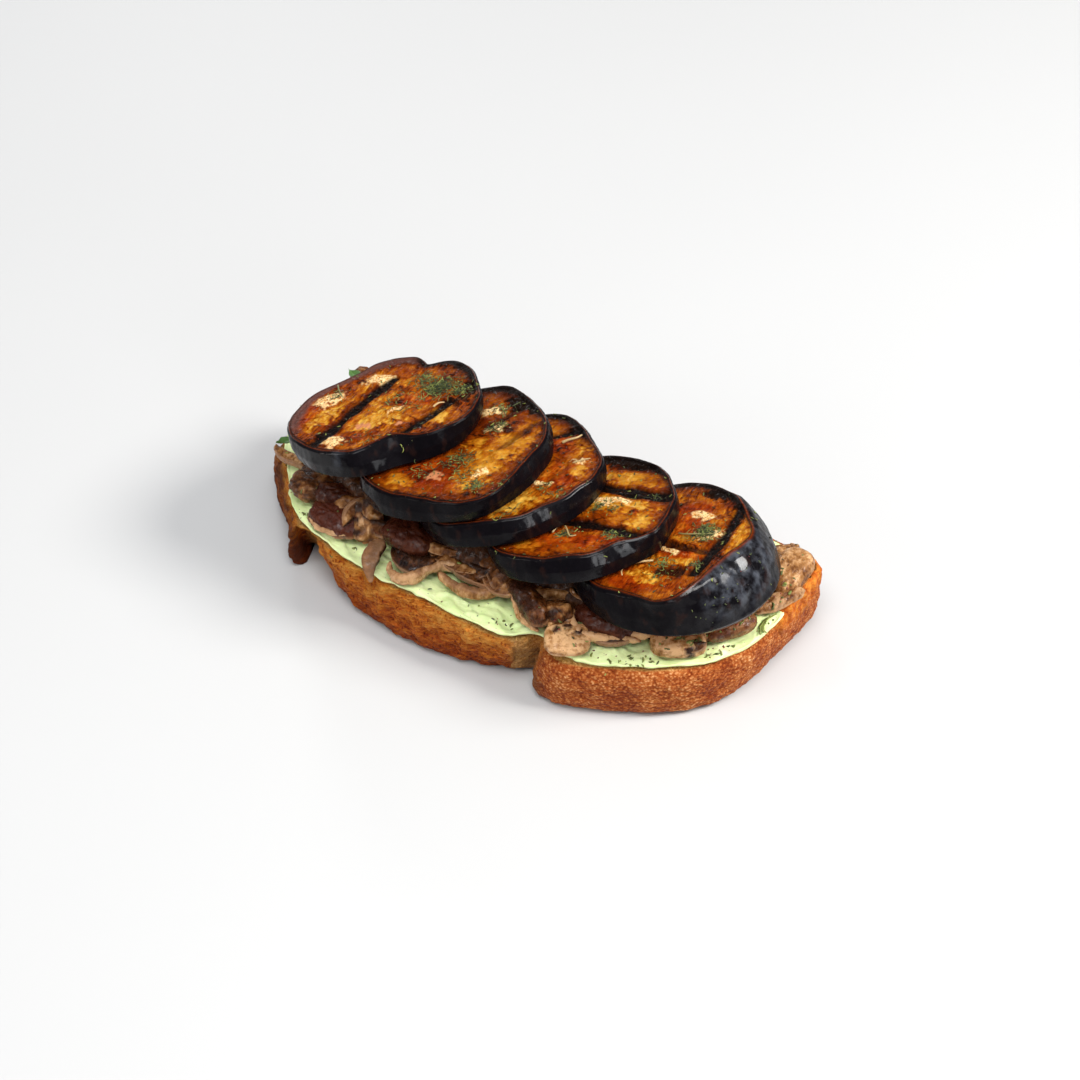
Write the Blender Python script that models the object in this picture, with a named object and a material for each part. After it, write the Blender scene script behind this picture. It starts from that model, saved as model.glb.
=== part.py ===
"""Grilled eggplant toast: an open sandwich on one slice of sourdough.

Frame: origin at the bottom centre of the toast, +X along the slice, -Y its scalloped front crust, +Z up.
Sizes below are in millimetres and become metres when an object is made.
From the bottom up: bread, herb spread, a heap of fried mushroom slices, and five grilled eggplant
slices laid like shingles, each resting on the next one to its right.
"""

import math
import random

import bmesh
import bpy
import numpy as np
from mathutils import Matrix, Vector, noise

MM = 0.001
GAP = 0.3  # air between pieces that touch

# Bread
BREAD_LENGTH = 203.0
BREAD_WIDTH = 102.0
BREAD_HEIGHT = 20.0
BREAD_POINTS = 152  # points round the crust
CRUST_RELIEF = 0.9  # crags of the baked crust
RIM_LIFT = 2.0  # how far the crust curls up at the right end
BACK_EXPONENT = 2.6  # squareness of the plain back edge

# Front crust, left end to right end: x, y of the top edge and how far the foot stands outside it.
FRONT_CRUST = (
    (-97.5, -3.0, 1.0),  # left end
    (-90.5, -13.0, 1.0),
    (-82.0, -24.0, 1.5),
    (-72.0, -35.5, 1.5),  # burnt ear, a corner that reaches the floor
    (-68.5, -37.0, -6.0),
    (-62.5, -38.5, -12.0),  # first score, hollow under the top edge
    (-56.0, -41.0, -5.5),
    (-45.0, -43.5, -1.5),  # left lobe
    (-30.0, -46.0, 0.5),
    (-10.0, -47.5, 1.5),
    (8.0, -49.0, -2.5),
    (22.0, -49.5, -8.0),
    (28.0, -47.0, -10.5),
    (31.5, -38.5, -1.0),  # second score, cut right through
    (34.5, -45.5, 2.0),
    (44.0, -49.0, 0.0),  # right lobe
    (60.0, -43.5, 0.0),
    (76.0, -35.5, 0.0),
    (89.0, -24.5, 0.0),
    (97.0, -11.0, -0.5),
    (101.0, 6.0, -1.0),
    (103.0, 23.0, -1.5),  # right end
    (101.5, 34.0, -1.0),
    (93.0, 41.0, 0.0),
    (79.0, 44.0, 0.0),
)

# Spread
SPREAD_TOP = 24.0
SPREAD_POINTS = 104
SPREAD_INSET = 2.6  # from the crust's edge
SPREAD_WAVE = 1.3
SWIRL_DEPTH = 1.1

# Eggplant slices
SLICE_THICKNESS = 10.5
SLICE_TILT = 17.5  # right side up
SLICE_DROP = 5.0  # back side down
SLICE_POINTS = 36
LAST_SLICE_TOP = 48.5  # height of the lowest slice's top, at its middle
PEEL_FLARE = 1.6  # the lower edge stands this far outside the upper one in front
GRILL_WIDTH = 3.2
GRILL_DEPTH = 1.25

# Name, middle x, y, mean radius, then swells and dents of the outline as (angle, height, width in degrees).
SLICES = (
    (
        "eggplant_1", -52.4, -1.0, 32.0,
        ((5, 4.8, 18), (60, 2.4, 22), (-50, -8.5, 14), (88, -7.5, 5), (152, -3.5, 15), (-140, 3, 25)),
    ),
    ("eggplant_2", -22.5, -4.5, 34.0, ((-46, 9.0, 16), (92, 3.5, 11), (70, 1.2, 35), (48, -1.5, 16))),
    (
        "eggplant_3", -2.8, -1.8, 33.2,
        ((92, 2.5, 11), (70, 1.3, 35), (50, -2.5, 12), (8, 2, 12), (-97, 3.5, 12)),
    ),
    (
        "eggplant_4", 27.1, -4.5, 32.4,
        ((-8, 3.5, 10), (16, 1.3, 10), (70, 1.4, 35), (-34, -1.5, 9), (-121, 2, 14), (-70, -1.5, 12)),
    ),
    (
        "eggplant_5", 58.2, -1.8, 32.8,
        ((-61, 7, 11), (-12, -4.3, 15), (70, 1.0, 30), (45, -2.8, 16), (108, 2, 14)),
    ),
)
FOOT_ROUNDNESS = 0.65  # share of the swells and dents that is gone at the underside

# Grill marks of each slice: middle x, y, angle, length.
GRILL_MARKS = {
    "eggplant_1": ((-8.0, -3.0, 82.0, 58.0), (20.0, -6.0, 76.0, 26.0)),
    "eggplant_2": ((20.5, 9.0, 76.0, 17.0), (9.5, 17.0, 68.0, 14.0)),
    "eggplant_3": ((20.5, 4.0, 80.0, 15.0),),
    "eggplant_4": ((13.0, 12.8, 2.0, 36.0), (11.0, -9.5, -3.0, 40.0)),
    "eggplant_5": ((20.0, 3.0, 95.0, 40.0), (8.0, -2.5, -7.0, 20.0)),
}

# The lowest slice is a wedge cut from the eggplant's end: thin at the left, thick and flared at the right.
WEDGE_MIDDLE = 15.0
WEDGE_SLOPE = 0.17
WEDGE_FOOT = (2.5, 0.0, 35.5)  # middle and radius of its round underside

# Herb flakes: node, x and y of the patch's middle, its radius, number. On a slice they are in its plane.
HERBS = (
    ("eggplant_1", 14.0, 13.0, 9.0, 7),
    ("eggplant_1", -21.0, 3.0, 3.5, 2),
    ("eggplant_2", 11.0, -10.0, 6.0, 3),
    ("eggplant_2", 25.0, -20.0, 4.0, 2),
    ("eggplant_2", 7.0, 24.0, 3.5, 2),
    ("eggplant_3", 20.0, -7.0, 5.0, 2),
    ("eggplant_3", 14.0, -24.0, 4.0, 1),
    ("eggplant_4", 6.0, -15.5, 4.0, 2),
    ("eggplant_4", 20.0, -12.5, 4.0, 2),
    ("eggplant_4", 10.0, 1.5, 2.5, 1),
    ("eggplant_5", 13.0, 8.0, 7.0, 4),
    ("eggplant_5", 8.0, -13.0, 3.0, 1),
    ("spread", 96.0, 0.0, 3.0, 3),
    ("spread", 94.0, -12.0, 4.0, 4),
)
FLAKE_LENGTH = 3.6
FLAKE_THICKNESS = 0.5

# Mushroom heap
HEAP_LENGTH = 172.0
HEAP_WIDTH = 62.0
HEAP_RISE = 30.0
HEAP_MIDDLE = (1.5, 0.0)
HEAP_LEVELS = (0.0, 0.14, 0.32, 0.52, 0.74, 0.92, 1.0)  # shares of the rise
HEAP_STEEPNESS = (3.2, 1.7)  # of its ends and of its sides
CUTTER_REACH = 50.0
MUSHROOM_THICKNESS = 3.4

# Mushroom slices on the shown side: x, y, z, width, turn, lean, side lean, curl, kind.
# A negative lean lays the cap's edge outward and down, a positive one stands it up against the heap.
MUSHROOMS_SHOWN = (
    (-83.0, -11.0, 28.0, 19.0, 175.0, -14.0, 0.0, 0.3, "strip"),
    (-70.5, -21.5, 28.5, 14.0, 40.0, 0.0, 0.0, 0.0, "dome"),
    (-62.5, -24.5, 30.5, 17.0, 196.0, -34.0, 0.0, 0.5, "cap"),
    (-53.0, -29.0, 30.5, 20.0, 178.0, -34.0, 0.0, 0.7, "cap"),
    (-42.0, -27.0, 31.0, 17.0, 24.0, 50.0, 8.0, 0.3, "whole"),
    (-34.5, -38.5, 27.0, 14.0, 95.0, -6.0, 0.0, 1.5, "stem"),
    (-20.5, -33.5, 30.0, 20.0, 192.0, -34.0, 0.0, 0.9, "cap"),
    (-9.0, -30.0, 30.0, 22.0, 172.0, -20.0, 0.0, 0.6, "strip"),
    (1.0, -31.5, 28.0, 25.0, 178.0, -18.0, 0.0, 0.4, "strip"),
    (13.5, -29.5, 31.5, 20.0, 168.0, -36.0, 0.0, 0.5, "cap"),
    (28.5, -37.0, 29.5, 22.0, 42.0, 48.0, 0.0, 0.4, "cap"),
    (38.5, -33.0, 29.5, 18.0, 198.0, -26.0, 0.0, 0.4, "whole"),
    (52.0, -28.0, 31.0, 26.0, 178.0, -34.0, 0.0, 0.7, "cap"),
    (65.5, -27.0, 27.5, 12.0, 150.0, -10.0, 0.0, 0.3, "stem"),
    (74.5, -22.5, 28.5, 16.0, 24.0, 58.0, 0.0, 0.6, "cap"),
    (83.5, -9.5, 30.0, 19.0, 222.0, -30.0, 0.0, 0.5, "cap"),
    (91.0, 8.0, 27.0, 21.0, 62.0, 12.0, 0.0, 0.4, "strip"),
    (90.0, 20.5, 29.5, 19.0, 70.0, 0.0, 0.0, 0.0, "dome"),
    (-73.0, 20.5, 37.0, 15.0, 30.0, 0.0, 0.0, 0.0, "dome"),
)
MUSHROOMS_BEHIND = 10  # along the back edge, by rule

# Where each kind of slice has its corners, from -1 to 1 across it.
MUSHROOM_COLUMNS = {
    "cap": (-1.0, -0.86, -0.5, 0.0, 0.5, 0.86, 1.0),
    "whole": (-1.0, -0.8, -0.32, -0.25, 0.25, 0.32, 0.8, 1.0),
    "strip": (-1.0, -0.6, 0.0, 0.6, 1.0),
    "stem": (-1.0, -0.4, 0.1, 0.55, 1.0),
}

# Small green leaves at the left end: x, y, z, length, turn, pitch.
LEAVES = (
    ("leaf_left", -88.5, -10.5, 31.3, 9.0, 250.0, -24.0),
    ("leaf_back", -79.5, 23.0, 40.4, 10.0, 150.0, 14.0),
)


def clear_scene():
    for ob in list(bpy.data.objects):
        bpy.data.objects.remove(ob, do_unlink=True)


def make_material(name, colour, roughness, metallic=0.0):
    material = bpy.data.materials.new(name)
    material.use_nodes = True
    shader = material.node_tree.nodes["Principled BSDF"]
    shader.inputs["Base Color"].default_value = (*colour, 1.0)
    shader.inputs["Roughness"].default_value = roughness
    shader.inputs["Metallic"].default_value = metallic
    material.diffuse_color = (*colour, 1.0)
    return material


def add_object(name, bm, material, collection):
    """The bmesh, in millimetres, as an object in metres."""
    bmesh.ops.scale(bm, vec=(MM, MM, MM), verts=bm.verts)
    bmesh.ops.recalc_face_normals(bm, faces=bm.faces)
    mesh = bpy.data.meshes.new(name)
    bm.to_mesh(mesh)
    bm.free()
    mesh.materials.append(material)
    ob = bpy.data.objects.new(name, mesh)
    collection.objects.link(ob)
    return ob


def smoothstep(low, high, value):
    t = min(1.0, max(0.0, (value - low) / (high - low)))
    return t * t * (3.0 - 2.0 * t)


def ripple(x, y, z, size, seed):
    """Smooth noise from -1 to 1 with features of the given size."""
    return noise.noise(Vector((x / size + seed * 7.3, y / size - seed * 3.1, z / size + seed)))


def closed_spline(anchors, count):
    """A closed Catmull-Rom curve through the anchors, as evenly spaced rows."""
    rows = np.array(anchors, dtype=float)
    fine = []
    for i in range(len(rows)):
        a, b, c, d = rows[i - 1], rows[i], rows[(i + 1) % len(rows)], rows[(i + 2) % len(rows)]
        for t in np.linspace(0.0, 1.0, 24, endpoint=False):
            square = (2 * a - 5 * b + 4 * c - d) * t**2
            cube = (3 * b - a - 3 * c + d) * t**3
            fine.append(0.5 * (2 * b + (c - a) * t + square + cube))
    fine = np.array(fine + [fine[0]])
    run = np.concatenate([[0.0], np.cumsum(np.linalg.norm(np.diff(fine[:, :2], axis=0), axis=1))])
    at = np.linspace(0.0, run[-1], count, endpoint=False)
    return np.stack([np.interp(at, run, fine[:, k]) for k in range(fine.shape[1])], axis=1)


def outward(points):
    """Unit normals of a closed outline that runs anticlockwise."""
    step = np.roll(points, -1, axis=0) - np.roll(points, 1, axis=0)
    normal = np.stack([step[:, 1], -step[:, 0]], axis=1)
    return normal / np.linalg.norm(normal, axis=1, keepdims=True)


def spun_solid(levels, steps, place):
    """A profile of so many levels spun through a full turn, each vertex moved to place(level, step)."""
    bm = bmesh.new()
    verts = [bm.verts.new((1.0, 0.0, float(k))) for k in range(levels)]
    edges = [bm.edges.new(pair) for pair in zip(verts, verts[1:])]
    turn = 2 * math.pi
    bmesh.ops.spin(bm, geom=verts + edges, cent=(0, 0, 0), axis=(0, 0, 1), angle=turn, steps=steps)
    bmesh.ops.remove_doubles(bm, verts=bm.verts, dist=0.0001)
    for vert in bm.verts:
        step = round(math.atan2(vert.co.y, vert.co.x) / turn * steps) % steps
        vert.co = place(round(vert.co.z), step)
    ends = [edge for edge in bm.edges if edge.is_boundary]
    bmesh.ops.holes_fill(bm, edges=ends, sides=0)
    bmesh.ops.triangulate(bm, faces=bm.faces, ngon_method="BEAUTY")
    bmesh.ops.recalc_face_normals(bm, faces=bm.faces)
    return bm


def crust_outline(count):
    """x, y and foot of the bread's top edge: the shaped front and a plain rounded back."""
    half_length, half_width = BREAD_LENGTH / 2, BREAD_WIDTH / 2
    anchors = list(FRONT_CRUST)
    for degrees in range(64, 176, 14):
        c, s = math.cos(math.radians(degrees)), math.sin(math.radians(degrees))
        x = half_length * math.copysign(abs(c) ** (2 / BACK_EXPONENT), c) + 0.8
        anchors.append((x, half_width * abs(s) ** (2 / BACK_EXPONENT), 0.5))
    return closed_spline(anchors, count)


def build_bread(material, collection):
    rows = crust_outline(BREAD_POINTS)
    outline, foot = rows[:, :2], rows[:, 2]
    normal = outward(outline)
    # height and inset of each ring, from the underside to the top
    rings = (
        (0.0, 3.6), (0.5, 2.1), (2.0, 0.7), (5.5, -0.1), (11.0, -0.4), (16.0, 0.0), (18.8, 1.0), (20.0, 2.8),
    )

    def place(level, i):
        height, inset = rings[level]
        x, y = outline[i]
        inside = inset - foot[i] * (1.0 - height / BREAD_HEIGHT) ** 0.8
        # torn, fibrous crags on the left lobe, finer ones elsewhere
        torn = smoothstep(-62, -50, x) * (1 - smoothstep(24, 32, x)) * smoothstep(5, -15, y)
        crag = ripple(x, y, height * 0.45, 6.0, 1) + 0.6 * ripple(x, y, height, 3.2, 2)
        crag += 0.8 * torn * ripple(x * 0.5, y, height * 1.3, 4.0, 3)
        on_side = smoothstep(-0.8, 1.2, height) * (1 - 0.6 * smoothstep(17, 20, height))
        inside -= CRUST_RELIEF * crag * on_side
        z = height
        if height > 17:
            z += RIM_LIFT * smoothstep(78, 97, x) * smoothstep(2, 14, y)
            z += 0.35 * ripple(x, y, 0.0, 9.0, 4)
        return x - normal[i, 0] * inside, y - normal[i, 1] * inside, z

    bm = spun_solid(len(rings), BREAD_POINTS, place)
    fit_box(bm, BREAD_LENGTH, BREAD_WIDTH)
    return add_object("bread", bm, material, collection)


def fit_box(bm, length, width):
    """Scale the shape about its middle so that it fills length by width."""
    points = np.array([vert.co for vert in bm.verts])
    low, high = points.min(axis=0), points.max(axis=0)
    middle = (low + high) / 2
    for vert in bm.verts:
        vert.co.x = middle[0] + (vert.co.x - middle[0]) * length / (high[0] - low[0])
        vert.co.y = middle[1] + (vert.co.y - middle[1]) * width / (high[1] - low[1])


def spread_outline(count):
    rows = crust_outline(count)
    outline = rows[:, :2].copy()
    for _ in range(2):  # the spread bridges the scores
        outline = (np.roll(outline, 1, axis=0) + 2 * outline + np.roll(outline, -1, axis=0)) / 4
    normal = outward(outline)
    inset = np.empty(count)
    for i, (x, y) in enumerate(outline):
        rim = 3.4 * smoothstep(84, 99, x) * smoothstep(14, 30, y) + 2.5 * smoothstep(20, 40, y)
        inset[i] = SPREAD_INSET + rim + SPREAD_WAVE * ripple(x, y, 0.0, 11.0, 5)
    return outline - normal * inset[:, None], normal


def build_spread(material, collection):
    outline, normal = spread_outline(SPREAD_POINTS)
    base = BREAD_HEIGHT + GAP + 0.3
    # height above the base and inset of each ring, underside to the inner top
    thick = SPREAD_TOP - base
    rings = ((0.0, 1.6), (0.45 * thick, 0.0), (0.85 * thick, 0.9), (thick, 3.0), (thick, 6.5), (thick, 11.0))

    def place(level, i):
        height, inset = rings[level]
        x, y = outline[i]
        towards = Vector((max(-62.0, min(62.0, x * 0.8)) - x, -y)).normalized()
        x, y = x + towards.x * inset, y + towards.y * inset
        z = base + height
        lift = RIM_LIFT * smoothstep(78, 97, x) * smoothstep(2, 14, y)
        if level < 2:
            z += lift * (1 - level / 2)
        if level >= 2:
            swirl = math.sin(0.42 * (x + 0.6 * y) + 2.2 * ripple(x, y, 0.0, 16.0, 6))
            sink = SWIRL_DEPTH * (0.5 - 0.5 * swirl) * smoothstep(11.0, 4.0, inset)
            z -= min(sink, 0.6 * height)
        return x, y, z

    bm = spun_solid(len(rings), SPREAD_POINTS, place)
    ob = add_object("spread", bm, material, collection)
    return ob


def slice_frames():
    """Each slice's matrix in millimetres: local +Z out of its grilled face, +X up the tilt."""
    tilt, drop = math.radians(SLICE_TILT), math.radians(SLICE_DROP)
    right = Vector((math.cos(tilt), 0.0, math.sin(tilt)))
    back = Vector((0.0, math.cos(drop), -math.sin(drop)))
    up = right.cross(back).normalized()
    back = up.cross(right)
    frames = {}
    height = LAST_SLICE_TOP
    for i in range(len(SLICES) - 1, -1, -1):
        name, x, y = SLICES[i][:3]
        if i < len(SLICES) - 1:
            # the plane above the next slice's face by one thickness and the gap
            below = SLICES[i + 1]
            rise = (SLICE_THICKNESS + GAP) / up.z
            height += rise - (up.x * (x - below[1]) + up.y * (y - below[2])) / up.z
        matrix = Matrix((right, back, up)).transposed().to_4x4()
        matrix.translation = (x, y, height)
        frames[name] = matrix
    return frames


def slice_radius(spec, degrees, depth=0.0):
    radius = spec[3]
    for angle, swell, width in spec[4]:
        off = (degrees - angle + 180) % 360 - 180
        radius += swell * math.exp(-0.5 * (off / width) ** 2) * (1.0 - FOOT_ROUNDNESS * depth)
    angle = math.radians(degrees)
    return radius + 0.25 * ripple(math.cos(angle) * 9, math.sin(angle) * 9, 0, 4, 8)


def slice_bmesh(spec, grow=0.0, steps=SLICE_POINTS):
    """One slice in its own plane, its grilled face at z = 0. With grow it is a cutter that reaches far up."""
    name = spec[0]
    wedge = name == SLICES[-1][0]
    # share of the radius, inset, and share of the depth of each ring: underside, peel, face
    rings = [(1, 2.2, 1.0), (1, 0.3, 0.9), (1, -0.5, 0.5), (1, 0.0, 0.08), (1, 0.9, 0.0)]
    if grow == 0.0:
        rings += [(0.82, 0.0, 0.0), (0.52, 0.0, 0.0), (0.2, 0.0, 0.0)]

    def place(level, i):
        share, inset, depth = rings[level]
        angle = 360.0 * i / steps
        c, s = math.cos(math.radians(angle)), math.sin(math.radians(angle))
        flare = PEEL_FLARE * max(0.0, -s) ** 0.7
        radius = slice_radius(spec, angle, depth) * share - inset + grow + flare * depth**0.8 * (level < 5)
        x, y = radius * c, radius * s
        if wedge and level < 5:
            blend = depth**0.7
            foot = WEDGE_FOOT[2] - inset + grow
            x += (WEDGE_FOOT[0] + foot * c - x) * blend
            y += (WEDGE_FOOT[1] + foot * s - y) * blend
        thickness = SLICE_THICKNESS
        if wedge:
            thickness = WEDGE_MIDDLE + WEDGE_SLOPE * x
        z = -thickness * depth - (grow if depth > 0.8 else 0.0)
        if grow and depth < 0.1:
            z += CUTTER_REACH
        if level > 4:  # the flesh dries and sinks a little inside the peel
            z -= 0.35 + 0.45 * abs(ripple(x, y, 0.0, 9.0, 9)) + 0.3 * ripple(x, y, 0.0, 4.0, 10)
            z = min(z, -0.05)
        return x, y, z

    return spun_solid(len(rings), steps, place)


def boolean(ob, operation, operand, solver="EXACT"):
    """Apply one Boolean with an object or a collection as operand."""
    modifier = ob.modifiers.new("cut", "BOOLEAN")
    modifier.operation = operation
    modifier.solver = solver
    if isinstance(operand, bpy.types.Collection):
        modifier.operand_type = "COLLECTION"
        modifier.collection = operand
    else:
        modifier.object = operand
    depsgraph = bpy.context.evaluated_depsgraph_get()
    mesh = bpy.data.meshes.new_from_object(ob.evaluated_get(depsgraph))
    old = ob.data
    ob.modifiers.clear()
    ob.data = mesh
    mesh.name = ob.name
    bpy.data.meshes.remove(old)


def tidy_body(ob):
    """Weld, keep the largest body, which fills sealed hollows and drops loose scraps, and triangulate."""
    bm = bmesh.new()
    bm.from_mesh(ob.data)
    bmesh.ops.remove_doubles(bm, verts=bm.verts, dist=0.000001)
    bmesh.ops.dissolve_degenerate(bm, edges=bm.edges, dist=0.000001)
    bmesh.ops.triangulate(bm, faces=bm.faces)
    seen, bodies = set(), []
    for start in bm.faces:
        if start in seen:
            continue
        body, todo = [], [start]
        seen.add(start)
        while todo:
            face = todo.pop()
            body.append(face)
            for edge in face.edges:
                for other in edge.link_faces:
                    if other not in seen:
                        seen.add(other)
                        todo.append(other)
        bodies.append(body)
    bodies.sort(key=len)
    for body in bodies[:-1]:
        bmesh.ops.delete(bm, geom=body, context="FACES")
    bm.to_mesh(ob.data)
    bm.free()


def helper_collection(name):
    collection = bpy.data.collections.new(name)
    bpy.context.scene.collection.children.link(collection)
    return collection


def drop_collection(collection):
    for ob in list(collection.objects):
        bpy.data.objects.remove(ob, do_unlink=True)
    bpy.data.collections.remove(collection)


def flake_bmesh(rng, length):
    """A dry herb shred: a pointed leaf shape with a slight bend."""
    bm = bmesh.new()
    width = length * rng.uniform(0.28, 0.42)
    sides = 6
    ring = []
    for i in range(sides):
        angle = 2 * math.pi * i / sides
        narrow = 1.0 - 0.35 * max(0.0, math.cos(angle))
        ring.append(bm.verts.new((length / 2 * math.cos(angle), width / 2 * narrow * math.sin(angle), 0.0)))
    face = bm.faces.new(ring)
    made = bmesh.ops.extrude_face_region(bm, geom=[face])["geom"]
    upper = [g for g in made if isinstance(g, bmesh.types.BMVert)]
    bmesh.ops.translate(bm, vec=(0, 0, FLAKE_THICKNESS), verts=upper)
    bmesh.ops.triangulate(bm, faces=bm.faces)
    return bm


def add_herbs(ob, matrix, level, material):
    """Fuse this node's herb flakes on, half sunk in a surface at the given height of its own plane."""
    patches = [row for row in HERBS if row[0] == ob.name]
    if not patches:
        return
    loose = helper_collection(ob.name + "_herbs")
    rng = random.Random(ob.name)
    placed = []
    for _, x, y, radius, count in patches:
        for _ in range(count):
            for _ in range(60):
                angle, away = rng.uniform(0, 2 * math.pi), radius * math.sqrt(rng.random())
                spot = (x + away * math.cos(angle), y + away * math.sin(angle))
                if all(math.dist(spot, other) > FLAKE_LENGTH * 1.15 for other in placed):
                    placed.append(spot)
                    break
            else:
                continue
            bm = flake_bmesh(rng, FLAKE_LENGTH * rng.uniform(0.75, 1.1))
            turn = Matrix.Rotation(rng.uniform(0, math.pi), 4, "Z")
            turn = turn @ Matrix.Rotation(rng.uniform(-0.08, 0.08), 4, "Y")
            bm.transform(matrix @ Matrix.Translation((*placed[-1], level)) @ turn)
            add_object(f"{ob.name}_flake_{len(placed)}", bm, material, loose)
    boolean(ob, "UNION", loose)
    drop_collection(loose)
    tidy_body(ob)


def build_slices(material, herb, collection):
    frames = slice_frames()
    made = []
    for spec in SLICES:
        name, matrix = spec[0], frames[spec[0]]
        bm = slice_bmesh(spec)
        bm.transform(matrix)
        ob = add_object(name, bm, material, collection)
        grooves = helper_collection(name + "_grooves")
        for x, y, degrees, length in GRILL_MARKS[name]:
            bm = bmesh.new()
            bmesh.ops.create_cube(bm, size=1.0)
            bmesh.ops.scale(bm, vec=(length, GRILL_WIDTH, 2 * GRILL_DEPTH), verts=bm.verts)
            turn = Matrix.Rotation(math.radians(degrees), 4, "Z")
            bm.transform(matrix @ Matrix.Translation((x, y, 0.0)) @ turn)
            add_object(f"{name}_groove", bm, material, grooves)
        boolean(ob, "DIFFERENCE", grooves)
        drop_collection(grooves)
        tidy_body(ob)
        add_herbs(ob, matrix, -0.75, herb)
        made.append(ob)
    return made


def mushroom_edges(kind, t):
    """Upper and lower edge of a slice at t = -1 to 1 across it, as shares of half its width."""
    arch = math.sqrt(max(0.0, 1.0 - t * t))
    if kind == "strip":
        return 0.42 * arch + 0.05, 0.12 * arch - 0.06
    if kind == "stem":
        half = 0.34 - 0.08 * t + 0.08 * t * t
        return half, -half
    gills = 0.10 - 0.30 * t * t
    if kind == "whole" and abs(t) < 0.26:
        gills = -0.78 - 0.06 * arch
    return 0.86 * arch - 0.08 * abs(t), gills


def mushroom_bmesh(kind, width, curl):
    """A slice of mushroom lying flat, its cap towards +Y, curled about its own Y axis, or a whole cap."""
    bm = bmesh.new()
    if kind == "dome":
        bmesh.ops.create_uvsphere(bm, u_segments=10, v_segments=6, radius=width / 2)
        bmesh.ops.scale(bm, vec=(1.0, 0.72, 0.6), verts=bm.verts)
        bmesh.ops.triangulate(bm, faces=bm.faces)
        bm.verts.layers.int.new("upper")
        return bm
    columns = MUSHROOM_COLUMNS[kind]
    bmesh.ops.create_grid(bm, x_segments=len(columns) - 1, y_segments=1, size=0.5)
    for vert in bm.verts:
        t = columns[round((vert.co.x + 0.5) * (len(columns) - 1))]
        high, low = mushroom_edges(kind, t)
        vert.co = (t * width / 2, (high if vert.co.y > 0 else low) * width / 2, 0.0)
    bmesh.ops.triangulate(bm, faces=bm.faces)
    made = bmesh.ops.extrude_face_region(bm, geom=list(bm.faces))["geom"]
    top = [g for g in made if isinstance(g, bmesh.types.BMVert)]
    bmesh.ops.translate(bm, vec=(0, 0, MUSHROOM_THICKNESS), verts=top)
    bmesh.ops.triangulate(bm, faces=bm.faces)
    upper = bm.verts.layers.int.new("upper")
    for vert in bm.verts:
        x, y, z = vert.co
        vert[upper] = int(z > 0)
        bend = curl * (x / width) ** 2 * width * 0.5
        vert.co.z = z - MUSHROOM_THICKNESS / 2 - bend + 0.12 * y * curl
    bmesh.ops.recalc_face_normals(bm, faces=bm.faces)
    return bm


def mushroom_placement(x, y, z, turn, lean, roll):
    """Matrix for a slice: turned about Z, then leaned so that its cap's edge rises, then rolled sideways."""
    return (
        Matrix.Translation((x, y, z))
        @ Matrix.Rotation(math.radians(turn), 4, "Z")
        @ Matrix.Rotation(math.radians(lean), 4, "X")
        @ Matrix.Rotation(math.radians(roll), 4, "Y")
    )


def mushrooms_behind():
    """The back edge gets slices like the front's, at even steps with a seeded variation."""
    rng = random.Random(7)
    rows = []
    for i in range(MUSHROOMS_BEHIND):
        share = (i + 0.5) / MUSHROOMS_BEHIND
        x = -66.0 + 140.0 * share + rng.uniform(-3, 3)
        y = 26.0 + 4.0 * math.sin(math.pi * share) + rng.uniform(-1.5, 1.5)
        kind = ("cap", "whole", "strip", "cap")[i % 4]
        lean = rng.uniform(20, 42)
        turn = rng.uniform(-26, 26) + 24.0 * (0.5 - share)
        width = rng.uniform(17, 23)
        rows.append((x, y, 27.0 + 0.1 * lean, width, turn, -lean, 0.0, rng.uniform(0.3, 0.8), kind))
    return rows


def build_heap(material, collection):
    """The mushroom heap: a lumpy mound under the slices, with the mushroom pieces that show fused on."""
    floor = SPREAD_TOP + GAP
    steps = 40

    def place(level, i):
        share = HEAP_LEVELS[level]
        angle = 2 * math.pi * i / steps
        c, s = math.cos(angle), math.sin(angle)
        ends, sides = (1.02 - share**power for power in HEAP_STEEPNESS)
        x = HEAP_MIDDLE[0] + math.copysign(abs(c) ** 0.8, c) * ends * HEAP_LENGTH / 2
        y = HEAP_MIDDLE[1] + math.copysign(abs(s) ** 0.8, s) * sides * HEAP_WIDTH / 2
        lump = 2.0 * ripple(x, y, 20 * share, 11.0, 12) + 1.2 * ripple(x, y, 20 * share, 6.0, 13)
        if level:
            return x + lump * c, y + lump * s, floor + HEAP_RISE * share + lump * min(1.0, 4 * share)
        return x, y, floor

    bm = spun_solid(len(HEAP_LEVELS), steps, place)
    heap = add_object("mushroom_heap", bm, material, collection)

    pieces = helper_collection("mushroom_slices")
    rows = list(MUSHROOMS_SHOWN) + mushrooms_behind()
    for i, (x, y, z, width, turn, lean, roll, curl, kind) in enumerate(rows):
        bm = mushroom_bmesh(kind, width, curl)
        bm.transform(mushroom_placement(x, y, z, turn, lean, roll))
        upper = bm.verts.layers.int["upper"]
        for vert in bm.verts:  # what would dip into the spread lies on it
            least = floor + 0.2 + 0.8 * MUSHROOM_THICKNESS * vert[upper]
            over_edge = kind == "stem" and vert.co.y < -43.5
            if vert.co.z < least and not over_edge:
                vert.co.z = least
        add_object(f"mushroom_{i + 1}", bm, material, pieces)
    boolean(heap, "UNION", pieces)
    drop_collection(pieces)
    tidy_body(heap)

    # the heap stays clear of the slices that rest on it
    cutters = helper_collection("slice_cutters")
    frames = slice_frames()
    for spec in SLICES:
        bm = slice_bmesh(spec, grow=GAP + 0.1, steps=SLICE_POINTS)
        bm.transform(frames[spec[0]])
        add_object(spec[0] + "_cutter", bm, material, cutters)
    boolean(heap, "DIFFERENCE", cutters)
    drop_collection(cutters)
    tidy_body(heap)
    return heap


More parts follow.
